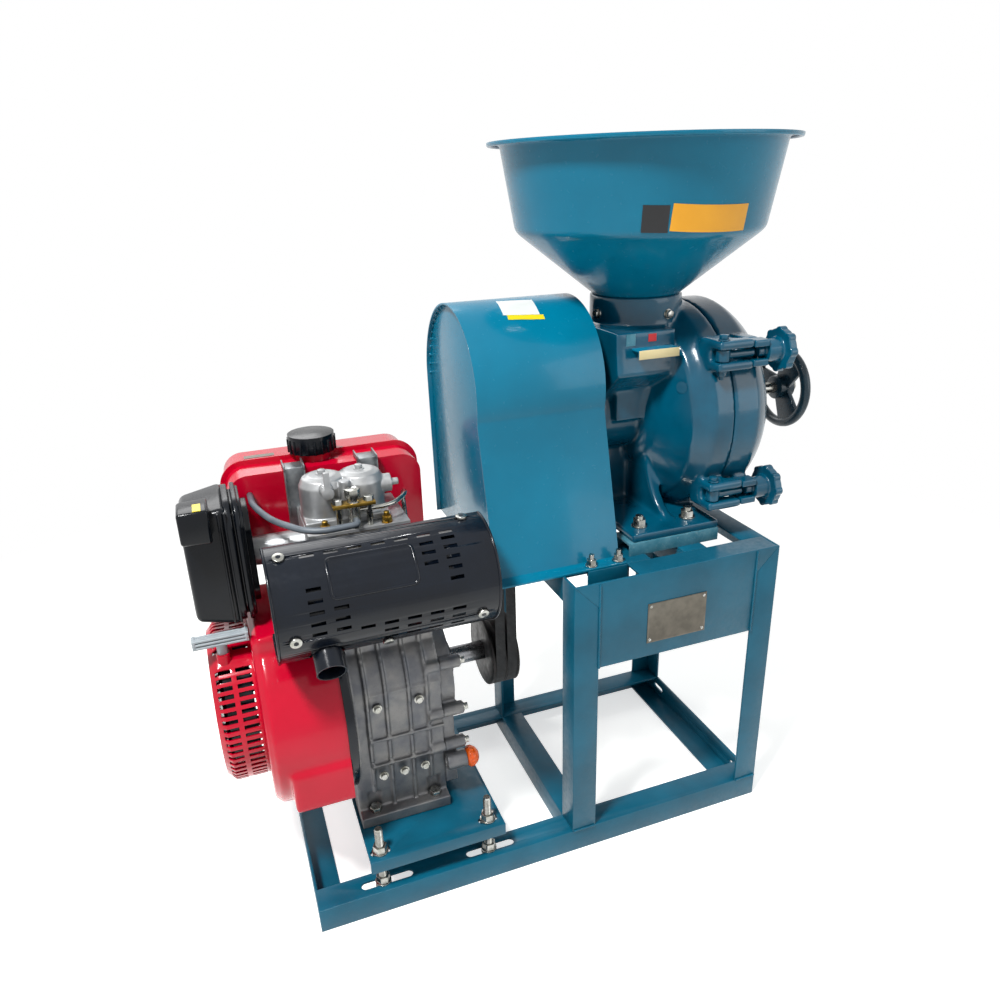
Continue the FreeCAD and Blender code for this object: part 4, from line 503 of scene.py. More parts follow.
def block(name: str, low: Spot, high: Spot, edge: float, segments: int = 3) -> bpy.types.Object:
    """Rounded block between two corners.

    Args:
        name: name of the piece.
        low: its lowest corner, in mm from the middle of the stand.
        high: its highest corner.
        edge: rounding of its edges in mm, or 0 for none.
        segments: faces across the rounding.

    Returns:
        The block.
    """
    first, last = spot(*low), spot(*high)
    bpy.ops.object.select_all(action="DESELECT")
    bpy.ops.mesh.primitive_cube_add(size=1, location=(first + last) / 2, scale=last - first)
    piece = bpy.context.active_object
    piece.name = name
    bpy.ops.object.transform_apply(location=True, rotation=True, scale=True)
    if edge:
        bevel(piece, edge, segments)
    return piece


def prism(name: str, outline: Sequence[tuple[float, float]], first: float, last: float) -> bpy.types.Object:
    """Solid with one outline all along X.

    Args:
        name: name of the piece.
        outline: (y, z) corners in mm from the middle of the stand.
        first: where it starts along X, in mm.
        last: where it ends.

    Returns:
        The solid.
    """
    mesh = bpy.data.meshes.new(name)
    mesh.from_pydata([spot(first, y, z) for y, z in outline], [], [range(len(outline))])
    piece = bpy.data.objects.new(name, mesh)
    bpy.context.scene.collection.objects.link(piece)
    start(piece)
    bpy.ops.mesh.extrude_region_move(TRANSFORM_OT_translate={"value": ((last - first) * MM, 0, 0)})
    bpy.ops.mesh.select_all(action="SELECT")
    bpy.ops.mesh.normals_make_consistent(inside=False)
    done()
    return piece


def turned(name: str, at: Spot, axis: Axis, profile: Sequence[tuple[float, float]], steps: int = 48,
           closed: bool = False) -> bpy.types.Object:
    """Turn a profile round an axis.

    Args:
        name: name of the piece.
        at: point on the axis, in mm from the middle of the stand.
        axis: direction of the axis.
        profile: (distance along the axis, radius) in mm; it starts and ends on the axis unless closed.
        steps: faces round it.
        closed: whether the profile is a closed loop, as for a ring.

    Returns:
        The turned piece.
    """
    middle = spot(*at)
    along = Vector(axis.value)
    out = Vector((0, 0, 1)) if axis is not Axis.Z else Vector((1, 0, 0))
    points = [middle + along * length * MM + out * radius * MM for length, radius in profile]
    edges = [(k, k + 1) for k in range(len(points) - 1)]
    if closed:
        edges.append((len(points) - 1, 0))
    mesh = bpy.data.meshes.new(name)
    mesh.from_pydata(points, edges, [])
    piece = bpy.data.objects.new(name, mesh)
    bpy.context.scene.collection.objects.link(piece)
    start(piece)
    bpy.ops.mesh.spin(steps=steps, angle=math.tau, center=middle, axis=along)
    bpy.ops.mesh.select_all(action="SELECT")
    bpy.ops.mesh.remove_doubles(threshold=MERGE)
    bpy.ops.mesh.normals_make_consistent(inside=False)
    done()
    return piece


def ring_section(along: float, out: float, radius: float, count: int) -> list[tuple[float, float]]:
    """Round section of a ring, as a profile to turn.

    Args:
        along: place of its middle along the ring's axis, in mm.
        out: distance of its middle from the axis.
        radius: radius of the section.
        count: corners round it.

    Returns:
        The (distance along the axis, radius) pairs.
    """
    angles = [math.tau * k / count for k in range(count)]
    return [(along + radius * math.sin(a), out + radius * math.cos(a)) for a in angles]


def tube(name: str, points: Sequence[Vector], radius: float,
         wobble: Sequence[float] = ()) -> bpy.types.Object:
    """Round bar along points in metres.

    Args:
        name: name of the piece.
        points: points along its middle, in metres.
        radius: radius in mm.
        wobble: share of the radius at each point, as on a weld bead.

    Returns:
        The bar as a mesh.
    """
    curve = bpy.data.curves.new(name, "CURVE")
    curve.dimensions = "3D"
    curve.bevel_depth = radius * MM
    curve.bevel_resolution = 3
    curve.use_fill_caps = True
    line = curve.splines.new("POLY")
    line.points.add(len(points) - 1)
    for k, point in enumerate(points):
        line.points[k].co = (*point, 1.0)
        line.points[k].radius = wobble[k] if wobble else 1.0
    piece = bpy.data.objects.new(name, curve)
    bpy.context.scene.collection.objects.link(piece)
    alone(piece)
    bpy.ops.object.convert(target="MESH")
    piece = bpy.context.active_object
    piece.name = name
    return piece


def repeat(piece: bpy.types.Object, shifts: Sequence[Vector]) -> bpy.types.Object:
    """Join copies of a piece to it.

    Args:
        piece: the piece, which stays in its place.
        shifts: how far each copy stands from it, in metres.

    Returns:
        The piece with its copies.
    """
    copies = []
    for shift in shifts:
        copy = bpy.data.objects.new(piece.name, piece.data.copy())
        copy.data.transform(Matrix.Translation(shift))
        bpy.context.scene.collection.objects.link(copy)
        copies.append(copy)
    return together(piece, copies)


def together(piece: bpy.types.Object, others: Sequence[bpy.types.Object]) -> bpy.types.Object:
    """Join other objects into one.

    Args:
        piece: object that takes the others in and keeps its name.
        others: what is joined to it.

    Returns:
        The first object.
    """
    alone(piece)
    for other in others:
        other.select_set(True)
    if others:
        bpy.ops.object.join()
    return piece


def joined(name: str, pieces: Sequence[bpy.types.Object]) -> bpy.types.Object:
    """Join pieces into one.

    Args:
        name: name of the result.
        pieces: what is joined.

    Returns:
        The first piece, with the others in it.
    """
    piece = together(pieces[0], pieces[1:])
    piece.name = name
    return piece


def hex_head(name: str, at: Spot, axis: Axis, across: float, height: float,
             washer: float) -> bpy.types.Object:
    """Hexagon head with a chamfered top on a round washer.

    Args:
        name: name of the piece.
        at: middle of the washer's underside, in mm from the middle of the stand.
        axis: direction that the head points in.
        across: size across its flats in mm.
        height: height of the hexagon in mm.
        washer: radius of the washer in mm.

    Returns:
        The head.
    """
    thick = 1.6
    flange = turned(name, at, axis, [(0, 0), (0, washer), (thick, washer - 0.4), (thick, 0)], 32)
    along = Vector(axis.value)
    bpy.ops.object.select_all(action="DESELECT")
    bpy.ops.mesh.primitive_cylinder_add(
        vertices=6, radius=across / math.sqrt(3) * MM, depth=height * MM,
        location=spot(*at) + along * (thick + height / 2) * MM,
        rotation=along.to_track_quat("Z", "Y").to_euler())
    head = bpy.context.active_object
    bevel(head, min(0.9, height * 0.15), 2, 50.0)
    return together(flange, [head])


def weld_bead(name: str, first: Spot, last: Spot, radius: float = 1.7) -> bpy.types.Object:
    """Rippled weld bead.

    Args:
        name: name of the piece.
        first: where it starts, in mm from the middle of the stand.
        last: where it ends.
        radius: radius in mm.

    Returns:
        The bead.
    """
    begin, end = spot(*first), spot(*last)
    ripple_length = 1.6
    steps = max(4, int((end - begin).length / MM / ripple_length))
    points = [begin.lerp(end, k / steps) for k in range(steps + 1)]
    ripple = [1.0 + 0.22 * math.sin(k * 2.1) + 0.12 * math.sin(k * 0.7) for k in range(steps + 1)]
    return tube(name, points, radius, ripple)


def label(name: str, node: str, at: Spot, facing: Spot, size: tuple[float, float], finish: Finish,
          lean: float = 0.0) -> bpy.types.Object:
    """Plain printed label that follows the surface of a CAD node.

    Args:
        name: name of the piece.
        node: CAD node that it sticks to.
        at: its middle, in mm from the middle of the stand.
        facing: direction that it faces.
        size: width and height in mm.
        finish: its finish.
        lean: turn in its own plane in degrees.

    Returns:
        The dressed label.
    """
    leaning = Matrix.Rotation(math.radians(lean), 3, "Z").to_quaternion()
    turn = Vector(facing).to_track_quat("Z", "Y") @ leaning
    clear, film = 0.45, 0.2
    bpy.ops.object.select_all(action="DESELECT")
    bpy.ops.mesh.primitive_grid_add(x_subdivisions=24, y_subdivisions=10, size=1, location=spot(*at),
                                    rotation=turn.to_euler())
    piece = bpy.context.active_object
    piece.name = name
    piece.scale = (size[0] * MM, size[1] * MM, 1)
    bpy.ops.object.transform_apply(location=True, rotation=True, scale=True)
    wrap = piece.modifiers.new("wrap", "SHRINKWRAP")
    wrap.target = frame["nodes"][node]
    wrap.wrap_mode = "ABOVE_SURFACE"
    wrap.offset = clear * MM
    thick = piece.modifiers.new("film", "SOLIDIFY")
    thick.thickness = film * MM
    thick.offset = 0.0
    body, slot = node_facts(node)
    return dress(piece, finish, body)


def main() -> None:
    """Build every piece in order."""
    logging.basicConfig(level=logging.INFO, format="%(name)s %(message)s")
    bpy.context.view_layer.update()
    Studio().build()
    for part in (Stand(), Drive(), Mill(), Engine(), FuelSystem()):
        part.build()


@dataclass
class Studio:
    """Camera at the photograph's place, a pale floor and soft lamps."""

    lens: float = 28.81
    eye: Spot = (-0.4387, -1.0877, 1.0057)
    right: Spot = (0.9351, -0.3533, -0.0277)
    up: Spot = (0.156, 0.3404, 0.9273)
    back: Spot = (-0.3182, -0.8714, 0.3734)
    floor_half: float = 6.0
    floor_near: float = 0.8
    floor_far: float = 1.8
    floor_drop: float = 0.0005
    look_at: Spot = (0.0, 0.0, 0.5)

    def build(self) -> None:
        """Make the camera, the floor, the lamps and the background."""
        self.camera()
        self.floor()
        self.lamp("key", (-1.5, -1.1, 3.4), 140.0, 0.5)
        self.lamp("fill", (2.4, -2.4, 1.5), 24.0, 2.2)
        self.lamp("rim", (-0.6, 2.6, 2.6), 30.0, 1.8)
        self.background()

    def camera(self) -> None:
        """Place the camera."""
        data = bpy.data.cameras.new("camera")
        data.sensor_width = 36.0
        data.lens = self.lens
        data.clip_start = 0.01
        camera = bpy.data.objects.new("camera", data)
        turn = Matrix((self.right, self.up, self.back)).transposed()
        camera.matrix_world = Matrix.Translation(self.eye) @ turn.to_4x4()
        bpy.context.scene.collection.objects.link(camera)
        bpy.context.scene.camera = camera

    def floor(self) -> None:
        """Lay a wide pale floor under the machine."""
        bpy.ops.mesh.primitive_plane_add(size=2 * self.floor_half, location=(0, 0, -self.floor_drop))
        floor = bpy.context.active_object
        floor.name = "floor"
        material = bpy.data.materials.new("pale_floor")
        material.use_nodes = True
        tree = material.node_tree
        tree.nodes.clear()
        matt = add_node(tree, "ShaderNodeBsdfDiffuse", {"Color": linear("#EEEEEA")}).outputs[0]
        glow = add_node(tree, "ShaderNodeEmission", {"Color": linear("#FFFFFF"), "Strength": 0.6}).outputs[0]
        both = add_node(tree, "ShaderNodeAddShader", {0: matt, 1: glow}).outputs[0]
        white = add_node(tree, "ShaderNodeEmission", {"Color": linear("#FFFFFF"), "Strength": 1.0}).outputs[0]
        where = add_node(tree, "ShaderNodeTexCoord").outputs["Object"]
        away = add_node(tree, "ShaderNodeVectorMath", {0: where}, operation="LENGTH").outputs["Value"]
        far = add_node(tree, "ShaderNodeMapRange", {"Value": away, "From Min": self.floor_near,
                                                    "From Max": self.floor_far}).outputs["Result"]
        seen = add_node(tree, "ShaderNodeMixShader", {0: far, 1: both, 2: white}).outputs[0]
        mixed = add_node(tree, "ShaderNodeMixShader", {0: self.looked_at(tree), 1: matt, 2: seen}).outputs[0]
        add_node(tree, "ShaderNodeOutputMaterial", {"Surface": mixed})
        floor.data.materials.append(material)

    def looked_at(self, tree: bpy.types.NodeTree) -> bpy.types.NodeSocket:
        """Tell rays that look at a surface from rays that only light the machine.

        Args:
            tree: node tree of the floor or the world.

        Returns:
            1 for a ray that looks straight, in a reflection or through glass, otherwise 0.
        """
        path = add_node(tree, "ShaderNodeLightPath")
        direct = add_node(tree, "ShaderNodeMath",
                          {0: path.outputs["Is Camera Ray"], 1: path.outputs["Is Glossy Ray"]},
                          operation="MAXIMUM").outputs[0]
        return add_node(tree, "ShaderNodeMath", {0: direct, 1: path.outputs["Is Transmission Ray"]},
                        operation="MAXIMUM").outputs[0]

    def lamp(self, name: str, place: Spot, power: float, size: float) -> None:
        """Hang a square soft lamp that points at the machine.

        Args:
            name: its name.
            place: where it hangs, in metres.
            power: watts.
            size: side in metres.
        """
        data = bpy.data.lights.new(name, "AREA")
        data.energy = power
        data.size = size
        lamp = bpy.data.objects.new(name, data)
        lamp.location = place
        lamp.rotation_euler = (Vector(self.look_at) - Vector(place)).to_track_quat("-Z", "Y").to_euler()
        bpy.context.scene.collection.objects.link(lamp)

    def background(self) -> None:
        """White background for what is seen directly or in a reflection, softer as a light."""
        world = bpy.data.worlds.new("studio")
        bpy.context.scene.world = world
        world.use_nodes = True
        tree = world.node_tree
        tree.nodes.clear()
        soft, white = (add_node(tree, "ShaderNodeBackground",
                                {"Color": linear(code), "Strength": power}).outputs[0]
                       for code, power in (("#E9EEF2", 0.36), ("#FFFFFF", 1.0)))
        mixed = add_node(tree, "ShaderNodeMixShader", {0: self.looked_at(tree), 1: soft, 2: white}).outputs[0]
        add_node(tree, "ShaderNodeOutputWorld", {"Surface": mixed})
        bpy.context.scene.view_settings.view_transform = "Standard"


@dataclass
class Stand:
    """Angle-iron stand, the engine's plate and every bolt on them."""

    edge: float = 0.9

    def build(self) -> None:
        """Dress the rails, posts, plates and bolts."""
        for node in ("base_front_rail", "base_rear_rail", "base_left_rail", "base_right_rail",
                     "base_cross_rail", "front_posts", "rear_posts", "top_front_plate", "top_rails",
                     "mill_bearers", "engine_base_plate"):
            skin(node, SHADED_TEAL_ANGLE, self.edge)
        skin("mill_support_bars", PALE_TEAL, self.edge)
        for node in ("engine_mount_nuts", "frame_bolts"):
            skin(node, ZINC_STEEL, 0.5)
        self.studs()
        self.name_plate()
        self.welds()

    def studs(self) -> None:
        """Cut a thread on the four studs that carry the engine's plate."""
        low, high, pitch, radius = 22.0, 140.0, 2.0, 6.0
        count = int((high - low - 1) / pitch)
        profile = [(0.0, 0.0), (0.0, radius - 1)]
        for k in range(count):
            profile += [(0.5 + k * pitch, radius), (0.5 + (k + 0.5) * pitch, radius - 0.9)]
        profile += [(high - low, radius - 1), (high - low, 0.0)]
        near, left, right = -157.5, -274.0, -107.0
        stud = turned("threaded_studs", (left, near, low), Axis.Z, profile, 24)
        across, deep = Vector(((right - left) * MM, 0, 0)), Vector((0, -2 * near * MM, 0))
        stud = repeat(stud, (across, deep, across + deep))
        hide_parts("engine_mount_studs")
        dress(stud, ZINC_STEEL, "machine", 30.0)

    def name_plate(self) -> None:
        """Blank name plate with a pressed border and four rivets."""
        left, right, low, high, face, inset = 146.0, 246.0, 358.0, 424.0, -177.5, 5.0
        plate = block("name_plate", (left, face - 1.0, low), (right, face, high), 0)
        pick(plate, "FACE", lambda polygon: polygon.normal.y < -0.9)
        bpy.ops.mesh.inset(thickness=2.2 * MM, depth=0)
        bpy.ops.mesh.inset(thickness=0.6 * MM, depth=-0.35 * MM)
        done()
        bevel(plate, 0.25, 2)
        dress(plate, PLATE_ALLOY, "machine")
        rivet = turned("name_plate_rivets", (left + inset, face - 0.6, low + inset), Axis.Y,
                       [(0, 0), (0, 2.6), (-1.0, 2.3), (-1.7, 1.3), (-1.9, 0)], 16)
        across = Vector(((right - left - 2 * inset) * MM, 0, 0))
        up = Vector((0, 0, (high - low - 2 * inset) * MM))
        dress(repeat(rivet, (across, up, across + up)), ZINC_STEEL, "machine")

    def welds(self) -> None:
        """Weld beads in the corners where posts, rails and plates meet."""
        face, left, right, top, leg, plate = 177.9, 27.5, 372.5, 475.0, 40.0, 140.0
        lines = [((x + 1, y, leg), (x + leg - 1, y, leg)) for y in (-face, face) for x in (left, right - leg)]
        lines += [((x, -face, top - plate), (x, -face, top - 2)) for x in (left + leg, right - leg)]
        beads = [weld_bead(f"stand_weld_{k}", *line) for k, line in enumerate(lines)]
        dress(joined("stand_welds", beads), SHADED_TEAL_ANGLE, "machine", 60.0)


@dataclass
class Drive:
    """Belts, pulleys and the folded guard over them."""

    edge: float = 0.8

    def build(self) -> None:
        """Dress the guard, the belts and the pulleys."""
        for node, finish, edge in (("guard_wrap", TEAL_SHEET, self.edge),
                                   ("guard_end_panel", TEAL_SHEET, self.edge),
                                   ("drive_belts", BELT_RUBBER, 0.6),
                                   ("mill_pulley", DARK_IRON, 0.5),
                                   ("engine_pulley", DARK_IRON, 0.5)):
            skin(node, finish, edge)
        self.tack_welds()
        label("guard_label", "guard_wrap", (30, 22, 834), (0, -0.3, 0.95), (54, 46), WHITE_VINYL, -6)
        label("guard_label_strip", "guard_wrap", (32, -6, 826), (0, -0.5, 0.87), (54, 10), YELLOW_VINYL, -6)

    def tack_welds(self) -> None:
        """Row of small welds that hold the end panel in the folded guard."""
        middle_y, middle_z, radius, x, size, count = 62.0, 715.0, 122.0, -60.6, 2.6, 26
        tack = turned("guard_tack_welds", (x, middle_y + radius, middle_z), Axis.X,
                      [(-1.6, 0), (-1.2, size * 0.7), (0, size), (1.0, size), (1.0, 0)], 12)
        shifts = []
        for k in range(1, count + 1):
            angle = math.pi * k / count
            shifts.append(Vector((0, (math.cos(angle) - 1) * radius, math.sin(angle) * radius)) * MM)
        dress(repeat(tack, shifts), TEAL_SHEET, "machine", 60.0)


@dataclass
class Mill:
    """Grinding mill with its door, clamps, hopper, gate and spout."""

    cell: float = 3.0
    throat: tuple[float, float] = (232.0, 40.0)  # x and y of the hopper's axis, in mm
    shaft: tuple[float, float] = (40.0, 657.0)  # y and z of the shaft's axis, in mm

    def build(self) -> None:
        """Dress the castings, the clamps and the sheet parts."""
        for node, cell, rounds in (("mill_body", self.cell, 7), ("mill_cover", self.cell, 7),
                                   ("upper_star_knob", 1.0, 4), ("lower_star_knob", 1.0, 4),
                                   ("cover_ears", 1.2, 4), ("upper_swing_bolt", 1.0, 2),
                                   ("lower_swing_bolt", 1.0, 2)):
            casting(node, TEAL_CASTING, cell, rounds)
        for node, finish, edge in (("cover_hinge_pin", ZINC_STEEL, 0.5), ("mill_shaft", GROUND_STEEL, 0.4),
                                   ("rotor_plate", DARK_IRON, 0.0), ("fixed_plate", DARK_IRON, 0.0),
                                   ("shaft_bearings", GROUND_STEEL, 0.0), ("thrust_cup", GROUND_STEEL, 0.5),
                                   ("adjusting_screw", ZINC_STEEL, 0.3)):
            skin(node, finish, edge)
        self.feed_gate()
        skin("discharge_spout", BARE_SHEET, 0.6)
        self.hopper()
        self.hand_wheel()
        self.hopper_trim()
        self.plugs()
        self.disc_screws()
        label("crown_label", "mill_body", (172, -60, 785), (0, -1, 0), (15, 17), PALE_TEAL)
        label("crown_mark", "mill_body", (207, -60, 786), (0, -1, 0), (13, 11), RED_VINYL)

    def hopper(self) -> None:
        """Spun hopper: spigot, lower cone, soft knee, leaning wall and flared lip."""
        spigot = [(798, 53.5), (798, 56), (838, 56), (838, 66)]
        knee = [(923, 174.1), (927, 178.6), (930.5, 181.6), (934.5, 183.4), (938, 184.4)]
        lip = [(1044, 203), (1047, 204.2), (1049, 206.5), (1049.5, 209), (1049.5, 222),
               (1052, 222), (1052, 207), (1050.5, 203.6), (1046, 201)]
        inside = [(936, 181.6), (931, 180), (927, 176), (840.5, 63.5), (840.5, 53.5)]
        profile = spigot + knee + lip + inside
        piece = turned("spun_hopper", (*self.throat, 0), Axis.Z, profile, 144, True)
        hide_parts("hopper")
        dress(piece, TEAL_SHEET, "machine", 30.0)

    def feed_gate(self) -> None:
        """Sliding gate: enamelled like the body, with a cream lip to pull it by."""
        gate = skin("feed_gate", TEAL_SHEET, 0.5)
        gate.data.materials.append(CREAM_PAINT.material())
        lip_from = -66.5
        lip = spot(0, lip_from, 0).y
        for polygon in gate.data.polygons:
            if polygon.center.y < lip:
                polygon.material_index = 1

    def hand_wheel(self) -> None:
        """Cast hand wheel: round rim, hub and three broad arms."""
        low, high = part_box("handwheel")
        middle = (low + high) / 2
        outer = (high.z - low.z) / 2 / MM
        at = (middle.x / MM - STAND_MIDDLE[0], *self.shaft)
        rim, half, arm_half, arm_thick = 8.0, (high.x - low.x) / 2 / MM, 17.0, 4.0
        wheel = turned("hand_wheel", at, Axis.X, ring_section(0, outer - rim, rim, 16), 72, True)
        reach = min(half, 16.0)
        hub = turned("hub", at, Axis.X, [(-reach, 0), (-reach, 17), (-reach + 2, 20), (reach - 3, 20),
                                         (reach, 16), (reach, 0)], 40)
        arms = []
        for k in range(3):
            arm = block(f"arm_{k}", (at[0] - arm_thick, at[1] - arm_half, at[2] + 10),
                        (at[0] + arm_thick, at[1] + arm_half, at[2] + outer - rim + 1), 0)
            self.flare(arm)
            bevel(arm, 2.0, 3)
            turn_about(arm, spot(*at), 30 + 120 * k, Axis.X)
            arms.append(arm)
        wheel = together(wheel, [hub, *arms])
        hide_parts("handwheel")
        dress(wheel, WHEEL_ENAMEL, "wheel", 40.0)

    def flare(self, arm: bpy.types.Object) -> None:
        """Widen an arm where it meets the rim.

        Args:
            arm: the arm, still upright.
        """
        wider = 1.55
        top = max(v.co.z for v in arm.data.vertices)
        middle = sum((v.co for v in arm.data.vertices), Vector()) / len(arm.data.vertices)
        pick(arm, "VERT", lambda corner: corner.co.z > top - MERGE)
        bpy.ops.transform.resize(value=(1, wider, 1), center_override=middle)
        done()

    def hopper_trim(self) -> None:
        """Rolled bead under the hopper's lip, its blank label and the bolts at its neck."""
        axis_x, axis_y = self.throat
        top, lip, bead = 1052.0, 222.0, 2.6
        ring = turned("hopper_lip_bead", (axis_x, axis_y, top - bead - 0.6), Axis.Z,
                      ring_section(0, lip - bead - 0.1, bead, 12), 120, True)
        dress(ring, TEAL_SHEET, "machine", 60.0)
        wall, middle, front, tall, drop = 188.0, 950.0, -95.0, 34.0, 0.08
        for name, first, last, finish in (("hopper_label_dark", -118.5, -108.0, DARK_VINYL),
                                          ("hopper_label_amber", -107.6, -71.0, AMBER_VINYL)):
            angle = math.radians((first + last) / 2)
            wide = math.radians(last - first) * wall
            tilt = drop * (math.degrees(angle) - front)
            across, deep = math.cos(angle), math.sin(angle)
            label(name, "hopper", (axis_x + wall * across, axis_y + wall * deep, middle - tilt),
                  (across, deep, -0.17), (wide, tall), finish, -2.0)
        bolts = []
        reach, neck = 69.0, 812.0
        for k, angle in enumerate((-172, -76, 8, 104)):
            bolt = hex_head(f"neck_bolt_{k}", (axis_x + reach, axis_y, neck), Axis.X, 11, 6, 8)
            turn_about(bolt, spot(axis_x, axis_y, neck), angle, Axis.Z)
            bolts.append(bolt)
        dress(joined("hopper_neck_bolts", bolts), ZINC_STEEL, "machine")

    def disc_screws(self) -> None:
        """Three countersunk screws of the rotating disc, seen with the door open."""
        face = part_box("rotor_plate")[1].x / MM - STAND_MIDDLE[0]
        reach = 92.0
        middle_y, middle_z = self.shaft
        screws = []
        for k in range(3):
            turn = math.radians(90 + 120 * k)
            at = (face - 0.5, middle_y + reach * math.cos(turn), middle_z + reach * math.sin(turn))
            screws.append(turned(f"disc_screw_{k}", at, Axis.X,
                                 [(0, 0), (0, 7.5), (1.1, 7.2), (1.1, 3.2), (0.3, 3.0), (0.3, 0)], 24))
        body, _ = node_facts("rotor_plate")
        dress(joined("disc_screws", screws), GROUND_STEEL, body)

    def plugs(self) -> None:
        """Grease plug on the near side of the grinding chamber, nuts and heads of the clamps' pins."""
        at, lean = (243.0, -84.0, 714.0), 118.0
        plug = hex_head("grease_plug", at, Axis.Y, 12, 5, 9)
        turn_about(plug, spot(*at), 180, Axis.X)
        turn_about(plug, spot(*at), lean, Axis.Z)
        dress(plug, TEAL_CASTING, "machine")
        pivot_x, pivot_y, low, high, half = 286.0, -117.5, 550.8, 763.2, 22.0
        below = (pivot_x, pivot_y, high - half)
        under = hex_head("clamp_pin_nuts", below, Axis.Z, 12, 6, 8)
        end = turned("pin_end", (pivot_x, pivot_y, high - half + 7.6), Axis.Z,
                     [(0, 0), (0, 3.6), (5, 3.6), (5.6, 3), (5.6, 0)], 16)
        under = together(under, [end])
        turn_about(under, spot(*below), 180, Axis.X)
        heads = [hex_head(f"pin_head_{k}", (pivot_x, pivot_y, z + half), Axis.Z, 12, 6, 8)
                 for k, z in enumerate((low, high))]
        dress(together(under, heads), TEAL_CASTING, "machine")


@dataclass
class Engine:
    """Air-cooled engine: castings, shroud, starter, silencer and small fittings."""

    case_cell: float = 2.0
    cover_cell: float = 1.8
    crank: tuple[float, float] = (-5.0, 297.0)  # y and z of the crankshaft's axis, in mm
    shield: Spot = (-130.0, 515.0, 75.0)  # y and z of the heat shield's axis and its radius, in mm
    shield_ends: tuple[float, float] = (-375.0, -90.0)  # where the shield begins and ends along x, in mm

    def build(self) -> None:
        """Dress the engine's parts."""
        casting("crankcase", CAST_ALLOY, self.case_cell, 1)
        casting("crankcase_side_cover", CAST_ALLOY, self.cover_cell, 2)
        skin("cylinder_block", HEAD_ALLOY, 0.6)
        casting("rocker_cover", HEAD_ALLOY, 1.2, 3)
        self.shroud()
        for node, finish, edge, segments in (
                ("shroud_back_plate", BLACK_SATIN_BLUE_REFLECTION, 1.2, 2), ("recoil_housing", RED_GLOSS, 0.6, 2),
                ("crankshaft", GROUND_STEEL, 0.5, 2), ("flywheel", CAST_ALLOY, 0.0, 2),
                ("air_cleaner_base", BLACK_PLASTIC_BLUE_REFLECTION, 1.5, 3), ("muffler", BLACK_SATIN_BLUE_REFLECTION, 0.5, 2),
                ("heat_shield", BLACK_SATIN_BLUE_REFLECTION, 0.0, 2), ("shield_screws", ZINC_STEEL, 0.6, 2)):
            skin(node, finish, edge, segments)
        self.injector()
        skin("fuel_hose", HOSE_RUBBER)
        skin("decompression_lever", HEAD_ALLOY, 0.8)
        self.shield_panel()
        self.shield_rims()
        self.shield_socket_shades()
        self.head_fittings()
        self.oil_cap()
        self.starter_drum_and_shade()
        self.grip()
        self.air_cleaner_lid()
        self.case_bolts()

    def shroud_outline(self, inset: float) -> list[tuple[float, float]]:
        """Outline of the fan shroud: round below, with a straight duct rising to the head.

        Args:
            inset: how far inside the shroud's own outline it runs, in mm.

        Returns:
            Its (y, z) corners.
        """
        y, z = self.crank
        radius, half, top, steps = 150.0 - inset, 84.0 - inset, 446.0 - inset, 64
        turn = math.acos(half / radius)
        first, last = math.pi - turn, math.tau + turn
        angles = [first + (last - first) * k / steps for k in range(steps + 1)]
        return [(y - half, top), *((y + radius * math.cos(a), z + radius * math.sin(a)) for a in angles),
                (y + half, top)]

    def shroud(self) -> None:
        """Pressed fan shroud with its stepped face and the rounded swelling on its near side."""
        face, shelf, back, beyond, wall, mouth = -405.0, -398.0, -300.0, -288.0, 2.6, 100.0
        piece = prism("pressed_fan_shroud", self.shroud_outline(0), shelf, beyond)
        step = prism("shroud_step", self.shroud_outline(7), face, shelf + 8)
        bulge = [(-93, 203), (-93, 312), (-128, 300), (-147, 278), (-159, 262), (-159, 203)]
        swelling = prism("shroud_swelling", bulge, -381, beyond)
        piece = together(piece, [step, swelling])
        even_out(piece, 2.4, 26)
        apply_all(piece)
        start(piece)
        bpy.ops.mesh.bisect(plane_co=spot(back, 0, 0), plane_no=(1, 0, 0), clear_outer=True)
        done()
        axis, front = spot(0, self.crank[0], 312), spot(face + 3, 0, 0).x
        pick(piece, "FACE", lambda polygon: polygon.center.x < front and mouth * MM
             > math.hypot(polygon.center.y - axis.y, polygon.center.z - axis.z))
        bpy.ops.mesh.delete(type="FACE")
        done()
        thick = piece.modifiers.new("sheet", "SOLIDIFY")
        thick.thickness = wall * MM
        thick.offset = -1.0
        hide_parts("fan_shroud")
        dress(piece, RED_GLOSS, "machine", 60.0)

    def injector(self) -> None:
        """Injector and pipe of plated steel, its clamp bar passivated yellow."""
        piece = skin("injector", ZINC_STEEL, 0.4)
        low, high = 598.5 * MM, 604.5 * MM
        piece.data.materials.append(YELLOW_ZINC.material())
        for polygon in piece.data.polygons:
            if low < polygon.center.z < high:
                polygon.material_index = 1

    def shield_panel(self) -> None:
        """Raised edge of the shallow panel pressed into the heat shield."""
        y, z, radius = self.shield
        left, right, low, high, corner = -304.0, -196.0, 118.0, 158.0, 7.0
        reach, quarter, parts = radius - 1.2, 4, 8
        bend = math.degrees(corner / radius)
        right_x, left_x, high_angle, low_angle = right - corner, left + corner, high - bend, low + bend
        points = []
        for middle_x, middle_angle, sweep in ((right_x, high_angle, 0), (left_x, high_angle, 90),
                                              (left_x, low_angle, 180), (right_x, low_angle, 270)):
            for k in range(quarter + 1):
                turn = math.radians(sweep + 90 * k / quarter)
                angle = math.radians(middle_angle + bend * math.sin(turn))
                points.append(spot(middle_x + corner * math.cos(turn),
                                   y + reach * math.cos(angle), z + reach * math.sin(angle)))
        points.append(points[0])
        fine = [a.lerp(b, k / parts) for a, b in zip(points, points[1:]) for k in range(parts)] + [points[0]]
        axis = spot(0, y, z)
        for point in fine:
            out = Vector((0, point.y - axis.y, point.z - axis.z)).normalized() * reach * MM
            point.y, point.z = axis.y + out.y, axis.z + out.z
        dress(tube("shield_panel_edge", fine, 2.6), BLACK_SATIN_BLUE_REFLECTION, "machine", 60.0)

